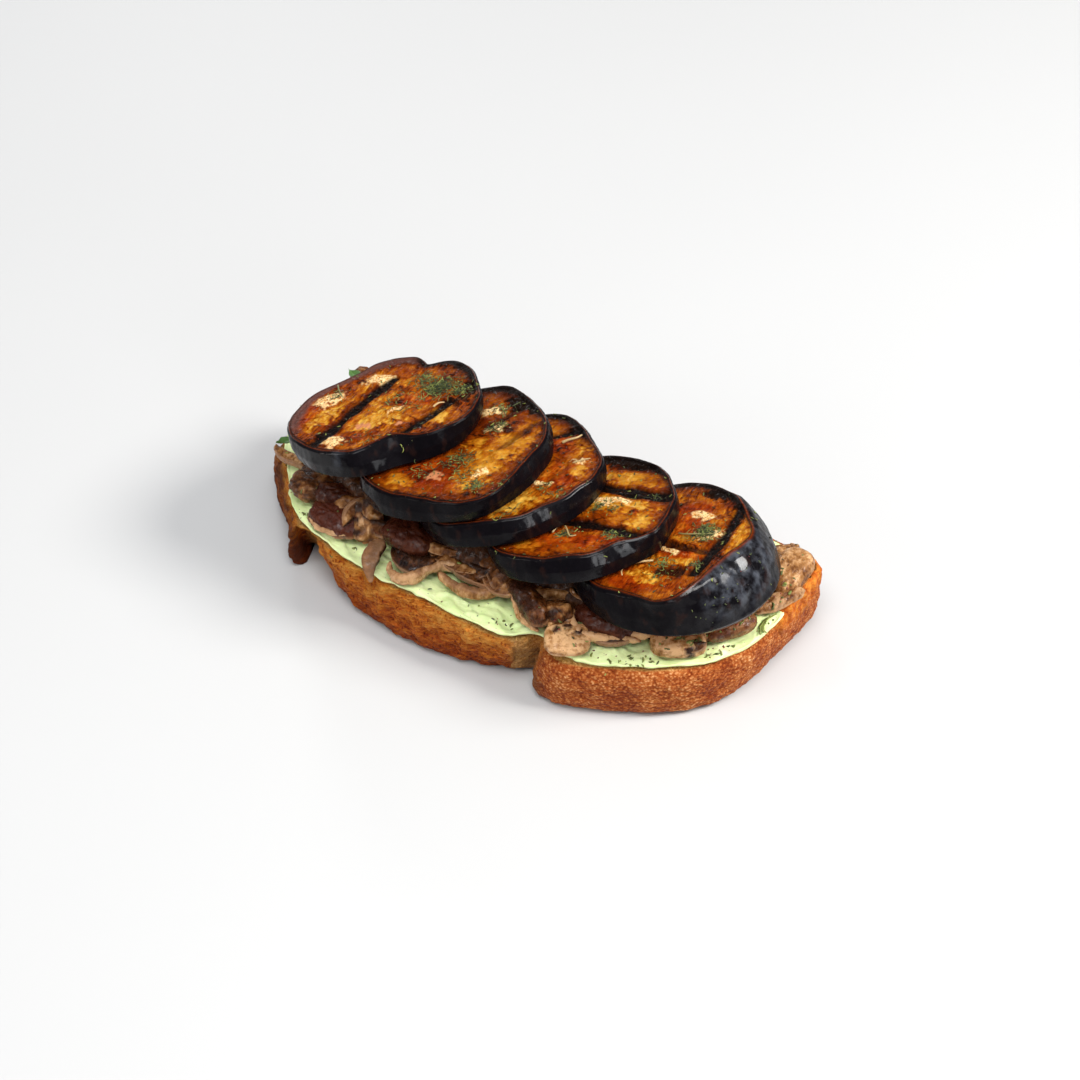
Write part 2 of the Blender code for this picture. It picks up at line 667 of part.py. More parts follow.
def build_leaf(spec, material, collection):
    name, x, y, z, length, turn, pitch = spec
    bm = bmesh.new()
    bmesh.ops.create_grid(bm, x_segments=7, y_segments=4, size=0.5)
    for vert in bm.verts:
        u, v = vert.co.x + 0.5, vert.co.y * 2
        width = 0.34 * length * (0.12 + math.sin(math.pi * min(1.0, 0.06 + 0.9 * u)) ** 0.8)
        wave = 0.05 * length * math.sin(7.0 * u + 1.3 * v) + 0.04 * length * abs(v)
        vert.co = (length * (u - 0.5), width * v * 0.5, wave)
    bmesh.ops.triangulate(bm, faces=bm.faces)
    made = bmesh.ops.extrude_face_region(bm, geom=list(bm.faces))["geom"]
    bmesh.ops.translate(bm, vec=(0, 0, 0.5), verts=[g for g in made if isinstance(g, bmesh.types.BMVert)])
    bmesh.ops.triangulate(bm, faces=bm.faces)
    bm.transform(
        Matrix.Translation((x, y, z))
        @ Matrix.Rotation(math.radians(turn), 4, "Z")
        @ Matrix.Rotation(math.radians(pitch), 4, "Y")
    )
    return add_object(name, bm, material, collection)


def centre_on(ob, collection):
    """Move everything sideways so that this object's box has its middle over the origin."""
    points = np.array([vert.co for vert in ob.data.vertices])
    middle = (points.min(axis=0) + points.max(axis=0)) / 2
    shift = Matrix.Translation((-middle[0], -middle[1], 0.0))
    for other in collection.objects:
        other.data.transform(shift)


def main():
    clear_scene()
    collection = bpy.data.collections.new("eggplant_toast")
    bpy.context.scene.collection.children.link(collection)
    crust = make_material("toasted_crust", (0.50, 0.20, 0.06), 0.75)
    cream = make_material("herb_spread", (0.52, 0.72, 0.36), 0.45)
    fried = make_material("fried_mushroom", (0.20, 0.10, 0.055), 0.5)
    grilled = make_material("grilled_eggplant", (0.42, 0.14, 0.02), 0.32)
    green = make_material("green_leaf", (0.10, 0.26, 0.06), 0.5)

    build_bread(crust, collection)
    spread = build_spread(cream, collection)
    add_herbs(spread, Matrix.Identity(4), SPREAD_TOP - 0.9, green)
    build_heap(fried, collection)
    build_slices(grilled, green, collection)
    for spec in LEAVES:
        build_leaf(spec, green, collection)
    centre_on(bpy.data.objects["bread"], collection)


main()
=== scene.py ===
"""Grilled eggplant toast: the looks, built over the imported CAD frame.

All sizes but the camera's and the lamps' are millimetres until a mesh is made. The shapes are the same
functions as the part's own, at a finer step, with the relief, colours and small things that the solids
leave out.
"""

import math
import random

import bmesh
import bpy
import numpy as np
from mathutils import Matrix, Vector, noise
from mathutils.bvhtree import BVHTree


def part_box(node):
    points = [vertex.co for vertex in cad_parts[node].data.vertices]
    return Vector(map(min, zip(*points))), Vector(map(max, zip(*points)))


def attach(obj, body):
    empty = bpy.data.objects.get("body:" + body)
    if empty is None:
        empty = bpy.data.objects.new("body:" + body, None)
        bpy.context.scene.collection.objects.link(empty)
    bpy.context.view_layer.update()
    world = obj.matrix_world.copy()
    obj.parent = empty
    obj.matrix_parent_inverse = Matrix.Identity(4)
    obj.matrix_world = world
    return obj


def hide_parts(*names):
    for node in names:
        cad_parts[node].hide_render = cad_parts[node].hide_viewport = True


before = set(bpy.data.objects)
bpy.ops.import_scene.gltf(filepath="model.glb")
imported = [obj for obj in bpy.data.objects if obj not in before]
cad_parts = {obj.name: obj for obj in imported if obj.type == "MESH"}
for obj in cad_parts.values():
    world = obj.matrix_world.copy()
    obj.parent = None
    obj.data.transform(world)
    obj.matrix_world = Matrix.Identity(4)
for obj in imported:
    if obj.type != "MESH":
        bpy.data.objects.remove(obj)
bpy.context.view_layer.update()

MM = 0.001
GAP = 0.3
ABOVE = 90  # rays start here, over everything
UNDER_SLICES = 34.5  # and here, for the spread's edge
SHIFT = np.array((-1.88369, -1.08136, 0))  # puts the origin under the middle of the bread

# Bread
BREAD_LENGTH = 203
BREAD_WIDTH = 102
BREAD_HEIGHT = 20
CRUST_RELIEF = 0.9
RIM_LIFT = 2
BREAD_STEPS = 1060
BACK_EXPONENT = 2.6
FRONT_CRUST = (  # x, y of the top edge and how far the foot stands outside it
    (-97.5, -3, 1), (-90.5, -13, 1), (-82, -24, -2), (-75.5, -31.5, -2.2), (-71.3, -36, 0.4),
    (-69.3, -36.8, -11.5), (-63.5, -38, -13.5), (-56.5, -41, -8), (-45, -43.5, -1.5), (-30, -46, 0.5),
    (-10, -47.5, 1.5), (8, -49, -2.5), (22, -49.5, -8), (28, -47, -10.5), (31.5, -38.5, -1),
    (34.5, -45.5, 2), (44, -49, 0), (60, -43.5, 0), (76, -35.5, 0), (89, -24.5, -0.5), (97, -11, -2),
    (101, 6, -2.8), (103, 23, -2.5), (101.5, 34, -1), (93, 41, 0), (79, 44, 0),
)

# Spread
SPREAD_TOP = 24
SPREAD_INSET = 2.6
SPREAD_WAVE = 1.3
SWIRL_DEPTH = 1.1
SPREAD_STEPS = 780

# Eggplant slices
SLICE_THICKNESS = 10.5
SLICE_STEPS = 384
SLICE_TILT = 17.5
SLICE_DROP = 5
LAST_SLICE_TOP = 48.5
PEEL_FLARE = 1.6
FOOT_ROUNDNESS = 0.65
PEEL_PROFILE = ((0, 0.08, 0.5, 0.9, 1), (0.9, 0, -0.5, 0.3, 2.2))  # depths and insets
WEDGE_MIDDLE = 15
WEDGE_SLOPE = 0.17
WEDGE_FOOT = (2.5, 0, 35.5)
SLICES = (  # name, middle x, y, mean radius, swells and dents as (angle, height, width)
    (
        "eggplant_1", -52.4, -1, 32,
        ((5, 4.8, 18), (60, 2.4, 22), (-50, -8.5, 14), (88, -5, 6), (152, -3.5, 15), (-140, 3, 25)),
    ),
    ("eggplant_2", -22.5, -4.5, 34, ((-46, 9, 16), (92, 3.5, 11), (70, 1.2, 35), (48, -1.5, 16))),
    (
        "eggplant_3", -2.8, -1.8, 33.2,
        ((92, 2.5, 11), (70, 1.3, 35), (50, -2.5, 12), (8, 2, 12), (-97, 3.5, 12)),
    ),
    (
        "eggplant_4", 27.1, -4.5, 32.4,
        ((-8, 3.5, 10), (16, 1.3, 10), (70, 1.4, 35), (-34, -1.5, 9), (-121, 2, 14), (-70, -1.5, 12)),
    ),
    (
        "eggplant_5", 58.2, -1.8, 32.8,
        ((-61, 7, 11), (-12, -4.3, 15), (70, 1, 30), (45, -2.8, 16), (108, 2, 14)),
    ),
)

# Grill bars: middle x, y, angle, length, width and how black.
BARS = {
    "eggplant_1": ((-9, -7, 82, 46, 3.8, 1), (20, -6, 76, 26, 3, 1)),
    "eggplant_2": ((20.5, 9, 76, 17, 2, 0.55), (9.5, 17, 68, 14, 2.2, 0.6)),
    "eggplant_3": ((20.5, 4, 80, 15, 1.6, 0.4), (9.5, 25, 30, 9, 3, 1)),
    "eggplant_4": ((13, 12.8, 2, 36, 4.2, 1), (11, -9.5, -3, 40, 3.4, 1), (10, 27, 8, 18, 2, 0.6)),
    "eggplant_5": ((20, 3, 95, 40, 3.2, 1), (8, -2.5, -7, 20, 2.2, 0.8), (12, -17.5, 10, 7, 4, 0.9)),
}

# Where each peel shines most: angle and half width.
SHEEN = {
    "eggplant_1": (-115, 42), "eggplant_2": (-138, 24), "eggplant_3": (-28, 34), "eggplant_4": (-30, 36),
    "eggplant_5": (-18, 32),
}

# How strongly each face shows its strings, and how brown it is.
GRAIN = {
    "eggplant_1": (1.05, 0.38), "eggplant_2": (0.4, 0.46), "eggplant_3": (0.75, 0.34),
    "eggplant_4": (0.45, 0.39), "eggplant_5": (0.9, 0.34),
}

# Patches on the grilled faces: x, y, half length, half width, angle.
PATCHES = {
    "eggplant_1": {
        "pale": (
            (-22.8, -1.5, 6.5, 3.4, 60), (-4.8, -25.2, 4, 3.2, 30), (-11.5, 14.5, 5.5, 3, 20),
            (6, -2, 3, 1.2, 60),
        ),
        "pink": ((0.2, -13.7, 2.9, 1.6, 20), (13.4, -10.3, 1.8, 1.3, 0)),
        "gold": ((4, -8, 10, 5, 60), (-18, -12, 8, 3.5, 70), (24, -2, 4, 7, 0)),
        "red": ((12, 8, 9, 5, 40), (-24, -12, 4, 8, 20)), "dark": ((26, 12, 5, 7, 20),),
    },
    "eggplant_2": {
        "pale": ((3, 21.3, 4, 2.4, 30), (10.5, 12, 4.6, 2.6, 35), (20.5, -14.5, 3.2, 1.2, 60)),
        "gold": ((20.5, -1, 7.5, 18, -10), (18, -17, 6.5, 6, 0), (-6, -25, 6, 4, -20), (9, 2, 6, 2.5, 20)),
        "red": ((3, -18, 14, 9, -20),), "pink": ((5, -20, 3, 1.8, 30),), "dark": ((12, 27, 8, 3.5, -15),),
    },
    "eggplant_3": {
        "gold": ((14, -21, 12, 5, 35), (21, 21, 5, 5, 0), (26, 4, 3, 4, 0)),
        "red": ((21, -1, 8, 9, 10), (10, 18, 5, 5, 0)),
        "pale": ((17, -5.5, 5.5, 1.2, 12), (23.5, 10, 3.4, 1.1, 25)),
    },
    "eggplant_4": {
        "gold": ((12, 20, 14, 4.2, 4), (13, 5, 12, 4, 0), (26, -4, 5, 5, 30)),
        "red": ((19.5, 2, 4, 2.6, -20), (-2, -17, 14, 5, -10), (16, -17, 12, 3.5, 10)),
        "pale": ((9, 6, 7, 2.4, 8),), "dark": ((4, 29, 12, 2.5, 5),),
    },
    "eggplant_5": {
        "red": ((2, 12, 12, 8, 70), (10, -8, 10, 4, 0), (-2, -24, 14, 5, -15)),
        "pale": ((14.5, 5.5, 6, 2.6, 25), (7, 15.5, 5, 2, -10), (6, -6, 5, 1, -12)),
        "gold": ((26, 6, 3, 13, 8), (13.7, -11, 6, 2.2, 5), (20, 20, 4, 6, 20), (3, -22, 6, 3, -10)),
        "dark": ((8, 28, 9, 2.5, 0),),
    },
}

# Mushroom heap
HEAP_LENGTH = 172
HEAP_WIDTH = 62
HEAP_RISE = 30
HEAP_MIDDLE = (1.5, 0)
HEAP_STEEPNESS = (3.2, 1.7)
MUSHROOM_THICKNESS = 3.4
MUSHROOMS_SHOWN = (  # x, y, z, width, turn, lean, side lean, curl, kind, tone
    (-83, -11, 28, 20, 175, -14, 0, 0.3, "strip", 0.62), (-45.5, -28, 30, 16, 52, 50, 8, 0.3, "cap", 0.46),
    (-20.5, -33, 29.5, 20, 192, -34, 0, 0.9, "cap", 0.24),
    (-8, -29, 30, 22, 172, -24, 0, 0.6, "strip", 0.5), (2, -30.5, 29, 22, 178, -18, 0, 0.4, "strip", 0.4),
    (12.5, -28.5, 31.5, 20, 168, -36, 0, 0.5, "cap", 0.42),
    (38.5, -37.5, 28, 9, 220, -40, 0, 0.3, "stem", 0.66), (52, -28, 30, 24, 178, -30, 0, 0.6, "cap", 0.3),
    (79, -14, 29, 16, 222, -30, 0, 0.5, "cap", 0.46),
)
MUSHROOM_LUMPS = (  # x, y, z, half sizes, turn, lean, tone, redness, rim, dark spots in its plane
    (-68.2, -22, 28.9, (9.6, 6.4, 4.7), 12, 10, 0.46, 0, 0, ()),
    (-54.5, -31, 27.9, (10.4, 6, 3.7), -4, 14, 0.2, 0.9, 1, ()),
    (-58, -24, 31, (8, 5, 4.5), 20, 10, 0.16, 0.5, 0, ()),
    (
        -42, -29.8, 31.4, (5.4, 8.4, 1.3), 26, 48, 0.58, 0, 0,
        ((-4.6, 0.5, 2.2), (-3.8, 4.8, 2.4), (-4.6, -4, 1.8), (-0.8, 6.4, 2.2)),
    ),
    (-26, -29.5, 31, (10, 6, 5), -8, 12, 0.18, 0.7, 0, ()),
    (24.5, -34.5, 30.2, (12.5, 4.6, 5.2), -34, 12, 0.34, 0.1, 0.6, ((-3, -1, 6), (6, -2, 3))),
    (35, -34.6, 29.6, (6.4, 4.8, 4), 10, 12, 0.42, 0, 0.5, ((0, -2.5, 2.2),)),
    (
        42.9, -41, 26.6, (7.8, 6.6, 2.3), 30, 9, 0.84, 0, 0.2,
        ((-3.4, 2.6, 1.7), (4.2, 1.4, 1.9), (-1, -3.4, 0.7), (2.8, -3.6, 0.6), (0.6, 4.6, 2.6)),
    ),
    (51.5, -29.5, 28.8, (11.5, 5, 4.4), 4, 10, 0.22, 0.6, 0, ()),
    (76.4, -24.4, 26.9, (9.6, 5.4, 4.6), 30, 12, 0.84, 0, 0, ((4, -5.6, 2.2),)),
    (79.3, -27.4, 25, (3.2, 1.5, 1), 26, 0, 0.58, 0.4, 0, ()),
    (94.2, 22.6, 27.6, (6.6, 10.4, 4.4), -8, 8, 0.65, 0, 0, ()),
    (90, 29.5, 27.6, (5.4, 4.6, 3.4), 30, 0, 0.56, 0, 0, ()),
    (96.6, 11, 26.2, (9.8, 2.8, 2), 60, 14, 0.72, 0.35, 0.7, ((-5, 1.5, 1.2), (2, -1.8, 0.9))),
    (91.4, 4.4, 26.2, (5.4, 2.8, 1.9), 40, 10, 0.66, 0.4, 0.6, ()),
    (88, -9.2, 27.5, (9.6, 4.6, 3.5), 54, 12, 0.6, 0.5, 0, ()),
    (83, -15, 27.4, (4.4, 3.2, 2.8), 20, 0, 0.34, 0.5, 0, ()),
    (-80, 28.6, 35.2, (4.6, 3.4, 3.2), 30, 0, 0.46, 0.2, 0, ()),
)
MUSHROOM_STRIPS = (  # points along a curled strip, its height, thickness and tone
    (((-33, -35, 31), (-33.6, -40.6, 29.8), (-32.4, -45.4, 27.6), (-30, -48.4, 23.6)), 3.2, (7.4, 3), 0.44),
    (
        (
            (-26.8, -40.8, 28.6), (-24.8, -43.8, 27.2), (-20.6, -44.6, 26.7), (-16.4, -41.8, 27.1),
            (-13.2, -36.4, 27.9), (-8.6, -32.8, 28.6), (-2.2, -32, 28.4), (5.5, -31, 27.6),
        ),
        5, (3.6, 2.2), 0.76,
    ),
    (
        ((-10.5, -36, 27), (-4.6, -38, 26.6), (1.7, -38.4, 26.4), (8, -36.4, 26.4), (13, -31.8, 28)), 4.6,
        (3, 3.8), 0.6,
    ),
    (
        (
            (39.6, -30.8, 30.2), (41, -34.4, 28.8), (45.6, -37.2, 27.6), (51.2, -36.2, 27.2),
            (56.6, -33.8, 27.2), (61.8, -31.6, 27.4), (65.4, -30.2, 27.2),
        ),
        3.8, (2.8, 2.2), 0.82,
    ),
    (((59.5, -30.6, 28), (63.2, -28.8, 28.6), (67, -26, 28.8), (70.5, -22.6, 28.6)), 4, (3.4, 4.8), 0.88),
    (((77.4, -18.6, 30.6), (81.4, -20.4, 29), (84.6, -21.8, 26.4)), 3.8, (2.2, 2.2), 0.95),
    (
        ((-64, -34.2, 26.4), (-58, -36.4, 26.2), (-51.5, -36.6, 26.4), (-45.5, -34, 26.8)), 2.8, (2.4, 2.4),
        0.84,
    ),
    (((16, -32, 30.6), (20, -36.4, 28.8), (26, -40.4, 27), (32.5, -42.2, 26)), 3.4, (2.2, 2.6), 0.62),
    (((-76, 22, 33.6), (-79, 25.6, 35), (-81.6, 29.6, 36.2)), 3.4, (3.6, 2.6), 0.42),
)

# Herb patches on the faces: x, y, radius, shreds.
HERB_PATCHES = {
    "eggplant_1": (
        (15, 14, 7.5, 230), (6, 17.5, 6, 60), (23.5, 14, 4.5, 60), (6, 4, 12, 30), (-21, 2, 5, 14),
        (6, -20, 6, 12),
    ),
    "eggplant_2": (
        (8, -9, 6.5, 60), (16, -17, 6, 30), (23.5, -22.5, 4.5, 42), (6, 23, 5, 30), (10, 12.5, 5, 46),
        (0, -18, 8, 30),
    ),
    "eggplant_3": ((20, -7, 5, 16), (14, -24, 7, 20), (27, -9, 4, 14)),
    "eggplant_4": (
        (4, -15.5, 4, 34), (20, -12.5, 4, 34), (6, 1.5, 3.5, 24), (14, 4, 9, 20), (24, 12.5, 3, 8),
    ),
    "eggplant_5": ((13, 6, 5.5, 120), (7, -13, 4, 22), (19, -12, 3, 14), (10, -20, 8, 16)),
}

# Pale curled stalks on the faces: points in the plane and above it, radius, tone.
STALKS = {
    "eggplant_1": (
        (((-24.6, 7, 0.2), (-22.5, 4.5, 0.7), (-20, 2, 0.5), (-18, 0.3, 0.1)), 0.32, 0.2),
        (((20.5, 1, 0.2), (21.5, 3, 0.6), (23, 4.5, 0.2)), 0.4, 0.8),
    ),
    "eggplant_3": (
        (((11.5, 18.5, 0), (13, 19.5, 0.5), (16, 21.5, 0.8), (16.5, 24, 0.4)), 0.55, 0.75),
        (((22, 8, -0.3), (25, 10, 0.1), (27, 12, -0.3)), 0.3, 0.7),
    ),
    "eggplant_4": (
        (((-1, -16.5, 0), (-0.2, -13.5, 0.8), (0.8, -10.5, 1.5)), 0.35, 0.7),
        (((1.5, -12, 0.1), (4, -14.5, 0.7), (6.5, -17, 0.1), (8.5, -16, 0)), 0.35, 0.6),
    ),
    "eggplant_5": (
        (((4, -14, 0.4), (-1, -17, 0.8), (-4, -21, 0.5), (-2.5, -24, 0)), 0.42, 0.8),
        (((4, 3, 0.1), (8, 2.6, 0.6), (13, 4, 0.5), (17, 6, 0)), 0.3, 0.35),
    ),
}

# Camera: angles in degrees, focal length in mm, distance and raised aim in metres.
AZIMUTH, ELEVATION = 29.5, 45
FOCAL_LENGTH, SENSOR = 114.3, 36
DISTANCE, AIM, AIM_RAISED = 1.22, (0.0012, 0.0142, 0), 0.00356

# Lamps: name, place and size in metres, watts, colour.
LAMPS = (
    ("window", (0.95, 0.35, 0.95), 0.55, 22, (1, 0.985, 0.96)),
    ("softbox", (0.15, -0.45, 1.35), 0.8, 12, (0.97, 0.98, 1)),
    ("side", (1.1, -0.75, 0.45), 0.45, 3.5, (0.95, 0.97, 1)),
    ("fill", (-0.8, -0.95, 0.55), 0.6, 5, (1, 0.97, 0.93)),
    ("glint", (-0.85, 0.95, 0.55), 0.3, 2.5, (1, 1, 1)),
)


# ---------------------------------------------------------------- noise and small maths

GRADIENTS = np.random.default_rng(5).normal(size=(256, 3))
GRADIENTS /= np.linalg.norm(GRADIENTS, axis=1, keepdims=True)


def gradient_noise(points, size, seed=0):
    """Smooth noise, about -1 to 1, with features of the given size, at an array of points."""
    points = np.asarray(points, float)
    p = points.reshape(-1, 3) / size + np.array((7.13, 3.71, 5.37)) * (seed + 1)
    cell = np.floor(p).astype(np.int64)
    f = p - cell
    u = f * f * f * (f * (f * 6 - 15) + 10)
    total = np.zeros(len(p))
    for corner in range(8):
        step = np.array((corner & 1, corner >> 1 & 1, corner >> 2 & 1))
        at = cell + step
        mixed = at[:, 0] * 73856093 ^ at[:, 1] * 19349663 ^ at[:, 2] * 83492791
        mixed = (mixed ^ (mixed >> 13)) * 1274126177
        index = (mixed ^ (mixed >> 16)) & 255
        weight = np.prod(np.where(step, u, 1 - u), axis=1)
        total += weight * np.einsum("ij,ij->i", GRADIENTS[index], f - step)
    return 1.7 * total.reshape(points.shape[:-1])


def fractal(points, size, seed=0, octaves=3):
    """Sum of noises, each half the size and half the strength of the one before."""
    return sum(gradient_noise(points, size / 2**k, seed + 17 * k) / 2**k for k in range(octaves))


def smooth(low, high, value):
    """From 0 at low to 1 at high, flat beyond both."""
    t = np.clip((value - low) / (high - low), 0, 1)
    return t * t * (3 - 2 * t)


def bell(value, middle, width):
    return np.exp(-(((value - middle) / width) ** 2))


def turned_by(degrees):
    return math.cos(math.radians(degrees)), math.sin(math.radians(degrees))


def signed(value, power):
    """A power that keeps the sign: it makes circles squarer."""
    return np.sign(value) * np.abs(value) ** power


def grid(x, y, z):
    return np.stack(np.broadcast_arrays(x, y, z), axis=-1)


def ripples(x, y, z, size, seed):
    """The part's own noise, for its own lumps and waves."""
    spots = grid(x / size + seed * 7.3, y / size - seed * 3.1, z / size + seed)
    flat = [noise.noise(spot) for spot in spots.reshape(-1, 3).tolist()]
    return np.array(flat).reshape(spots.shape[:-1])


# ---------------------------------------------------------------- meshes


def mesh_piece(name, points, faces, material, replaced=(), attributes=None):
    """A smooth mesh from points in millimetres, riding on the root body."""
    mesh = bpy.data.meshes.new(name)
    mesh.from_pydata((np.asarray(points) * MM).tolist(), [], faces)
    mesh.polygons.foreach_set("use_smooth", np.ones(len(mesh.polygons), bool))
    for key, values in (attributes or {}).items():
        layer = mesh.attributes.new(key, "FLOAT", "POINT")
        layer.data.foreach_set("value", np.asarray(values, np.float32))
    mesh.materials.append(material)
    mesh.update()
    piece = bpy.data.objects.new(name, mesh)
    bpy.context.scene.collection.objects.link(piece)
    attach(piece, "root")
    if replaced:
        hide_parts(*replaced)
    return piece


def with_ends(rows):
    """Rings of points or values as one list, with the middles of the first and the last ring."""
    return np.concatenate([rows.reshape(-1, *rows.shape[2:]), rows[:1].mean(axis=1), rows[-1:].mean(axis=1)])


def ring_faces(levels, steps):
    """Faces of a closed surface through rings of points, with fans to the two end points."""
    index = np.arange(levels * steps).reshape(levels, steps)
    ahead = np.roll(index, -1, axis=1)
    faces = np.stack([index[:-1], ahead[:-1], ahead[1:], index[1:]], axis=-1).reshape(-1, 4).tolist()
    for end, (a, b) in enumerate(((ahead[0], index[0]), (index[-1], ahead[-1]))):
        faces += grid(levels * steps + end, a, b).tolist()
    return faces


def ring_piece(name, rows, material, replaced, attributes):
    """A closed surface from rings of points, levels by steps by 3, bottom first."""
    full = {key: with_ends(np.broadcast_to(values, rows.shape[:2])) for key, values in attributes.items()}
    faces = ring_faces(*rows.shape[:2])
    return mesh_piece(name, with_ends(rows) + SHIFT, faces, material, replaced, full)


def spline(rows, cuts):
    """Points on a smooth curve through all the rows but the first and the last, which only lead it."""
    fine = []
    for a, b, c, d in zip(rows, rows[1:], rows[2:], rows[3:]):
        for t in np.linspace(0, 1, cuts, endpoint=False):
            square = (2 * a - 5 * b + 4 * c - d) * t**2
            cube = (3 * b - a - 3 * c + d) * t**3
            fine.append(0.5 * (2 * b + (c - a) * t + square + cube))
    return np.array([*fine, rows[-2]])


def outward(points):
    """Unit normals of a closed outline."""
    step = np.roll(points, -1, axis=0) - np.roll(points, 1, axis=0)
    normal = np.stack([step[:, 1], -step[:, 0]], axis=1)
    return normal / np.linalg.norm(normal, axis=1, keepdims=True)


# ---------------------------------------------------------------- materials


class Value:
    """A node's output that can be added, subtracted and multiplied, each time by a new node."""

    def __init__(self, graph, socket):
        self.graph, self.socket = graph, socket

    def __add__(self, other):
        return self.graph.math("ADD", self, other)

    def __sub__(self, other):
        return self.graph.math("SUBTRACT", self, other)

    def __mul__(self, other):
        return self.graph.math("MULTIPLY", self, other)


class Graph:
    """A Principled material and short calls for its nodes. Sizes are in millimetres."""

    def __init__(self, name, roughness=0.5):
        self.material = bpy.data.materials.new(name)
        self.material.use_nodes = True
        self.tree = self.material.node_tree
        self.shader = self.tree.nodes["Principled BSDF"]
        self.shader.inputs["Roughness"].default_value = roughness
        self.where = self.node("TexCoord", "Object")

    def put(self, socket, value):
        if isinstance(value, Value):
            self.tree.links.new(value.socket, socket)
        else:
            is_colour = socket.type == "RGBA" and len(value) == 3
            socket.default_value = (*value, 1) if is_colour else value

    def node(self, kind, output, inputs=None, **settings):
        """A new node with its inputs and settings, as the value of one of its outputs."""
        made = self.tree.nodes.new("ShaderNode" + kind)
        for key, value in settings.items():
            setattr(made, key, value)
        for key, value in (inputs or {}).items():
            self.put(made.inputs[key], value)
        return Value(self, made.outputs[output])

    def attributes(self, *names):
        return [self.node("Attribute", "Fac", attribute_name=name) for name in names]

    def scaled(self, size, stretch):
        scale = tuple(1000 / (size * s) for s in stretch)
        return self.node("Mapping", 0, {"Vector": self.where, "Scale": scale})

    def cloud(self, vector, detail, roughness, distortion):
        inputs = {"Vector": vector, "Scale": 1, "Detail": detail, "Roughness": roughness}
        return self.node("TexNoise", "Fac", {**inputs, "Distortion": distortion})

    def noise(self, size, detail=3, roughness=0.55, stretch=(1, 1, 1), distortion=0):
        return self.cloud(self.scaled(size, stretch), detail, roughness, distortion)

    def strands(self, u, v, w, detail, roughness, distortion):
        """Noise in two coordinates along a surface, each w of them a pattern of its own."""
        return self.cloud(self.node("CombineXYZ", 0, {0: u, 1: v, 2: w}), detail, roughness, distortion)

    def cells(self, size, stretch=(1, 1, 1)):
        return self.node("TexVoronoi", "Distance", {"Vector": self.scaled(size, stretch), "Scale": 1})

    def math(self, operation, a, b=0):
        return self.node("Math", 0, {0: a, 1: b}, operation=operation)

    def range(self, value, low, high, to_low=0, to_high=1):
        inputs = {"Value": value, "From Min": low, "From Max": high, "To Min": to_low, "To Max": to_high}
        return self.node("MapRange", 0, inputs, interpolation_type="SMOOTHSTEP")

    def ramp(self, value, *stops):
        made = self.node("ValToRGB", "Color", {"Fac": value})
        elements = made.socket.node.color_ramp.elements
        while len(elements) < len(stops):
            elements.new(0.5)
        for element, (at, *colour) in zip(elements, stops):
            element.position, element.color = at, (*colour, 1)
        return made

    def mix(self, factor, a, b):
        return self.node("Mix", 2, {0: factor, 6: a, 7: b}, data_type="RGBA")

    def blend(self, factor, a, b):
        return self.node("Mix", 0, {0: factor, 2: a, 3: b}, data_type="FLOAT")

    def bump(self, height, distance, strength=1, normal=None):
        inputs = {"Height": height, "Distance": distance * MM, "Strength": strength}
        return self.node("Bump", 0, {**inputs, "Normal": normal} if normal else inputs)

    def finish(self, **inputs):
        for key, value in inputs.items():
            self.put(self.shader.inputs[key.replace("_", " ")], value)
        return self.material


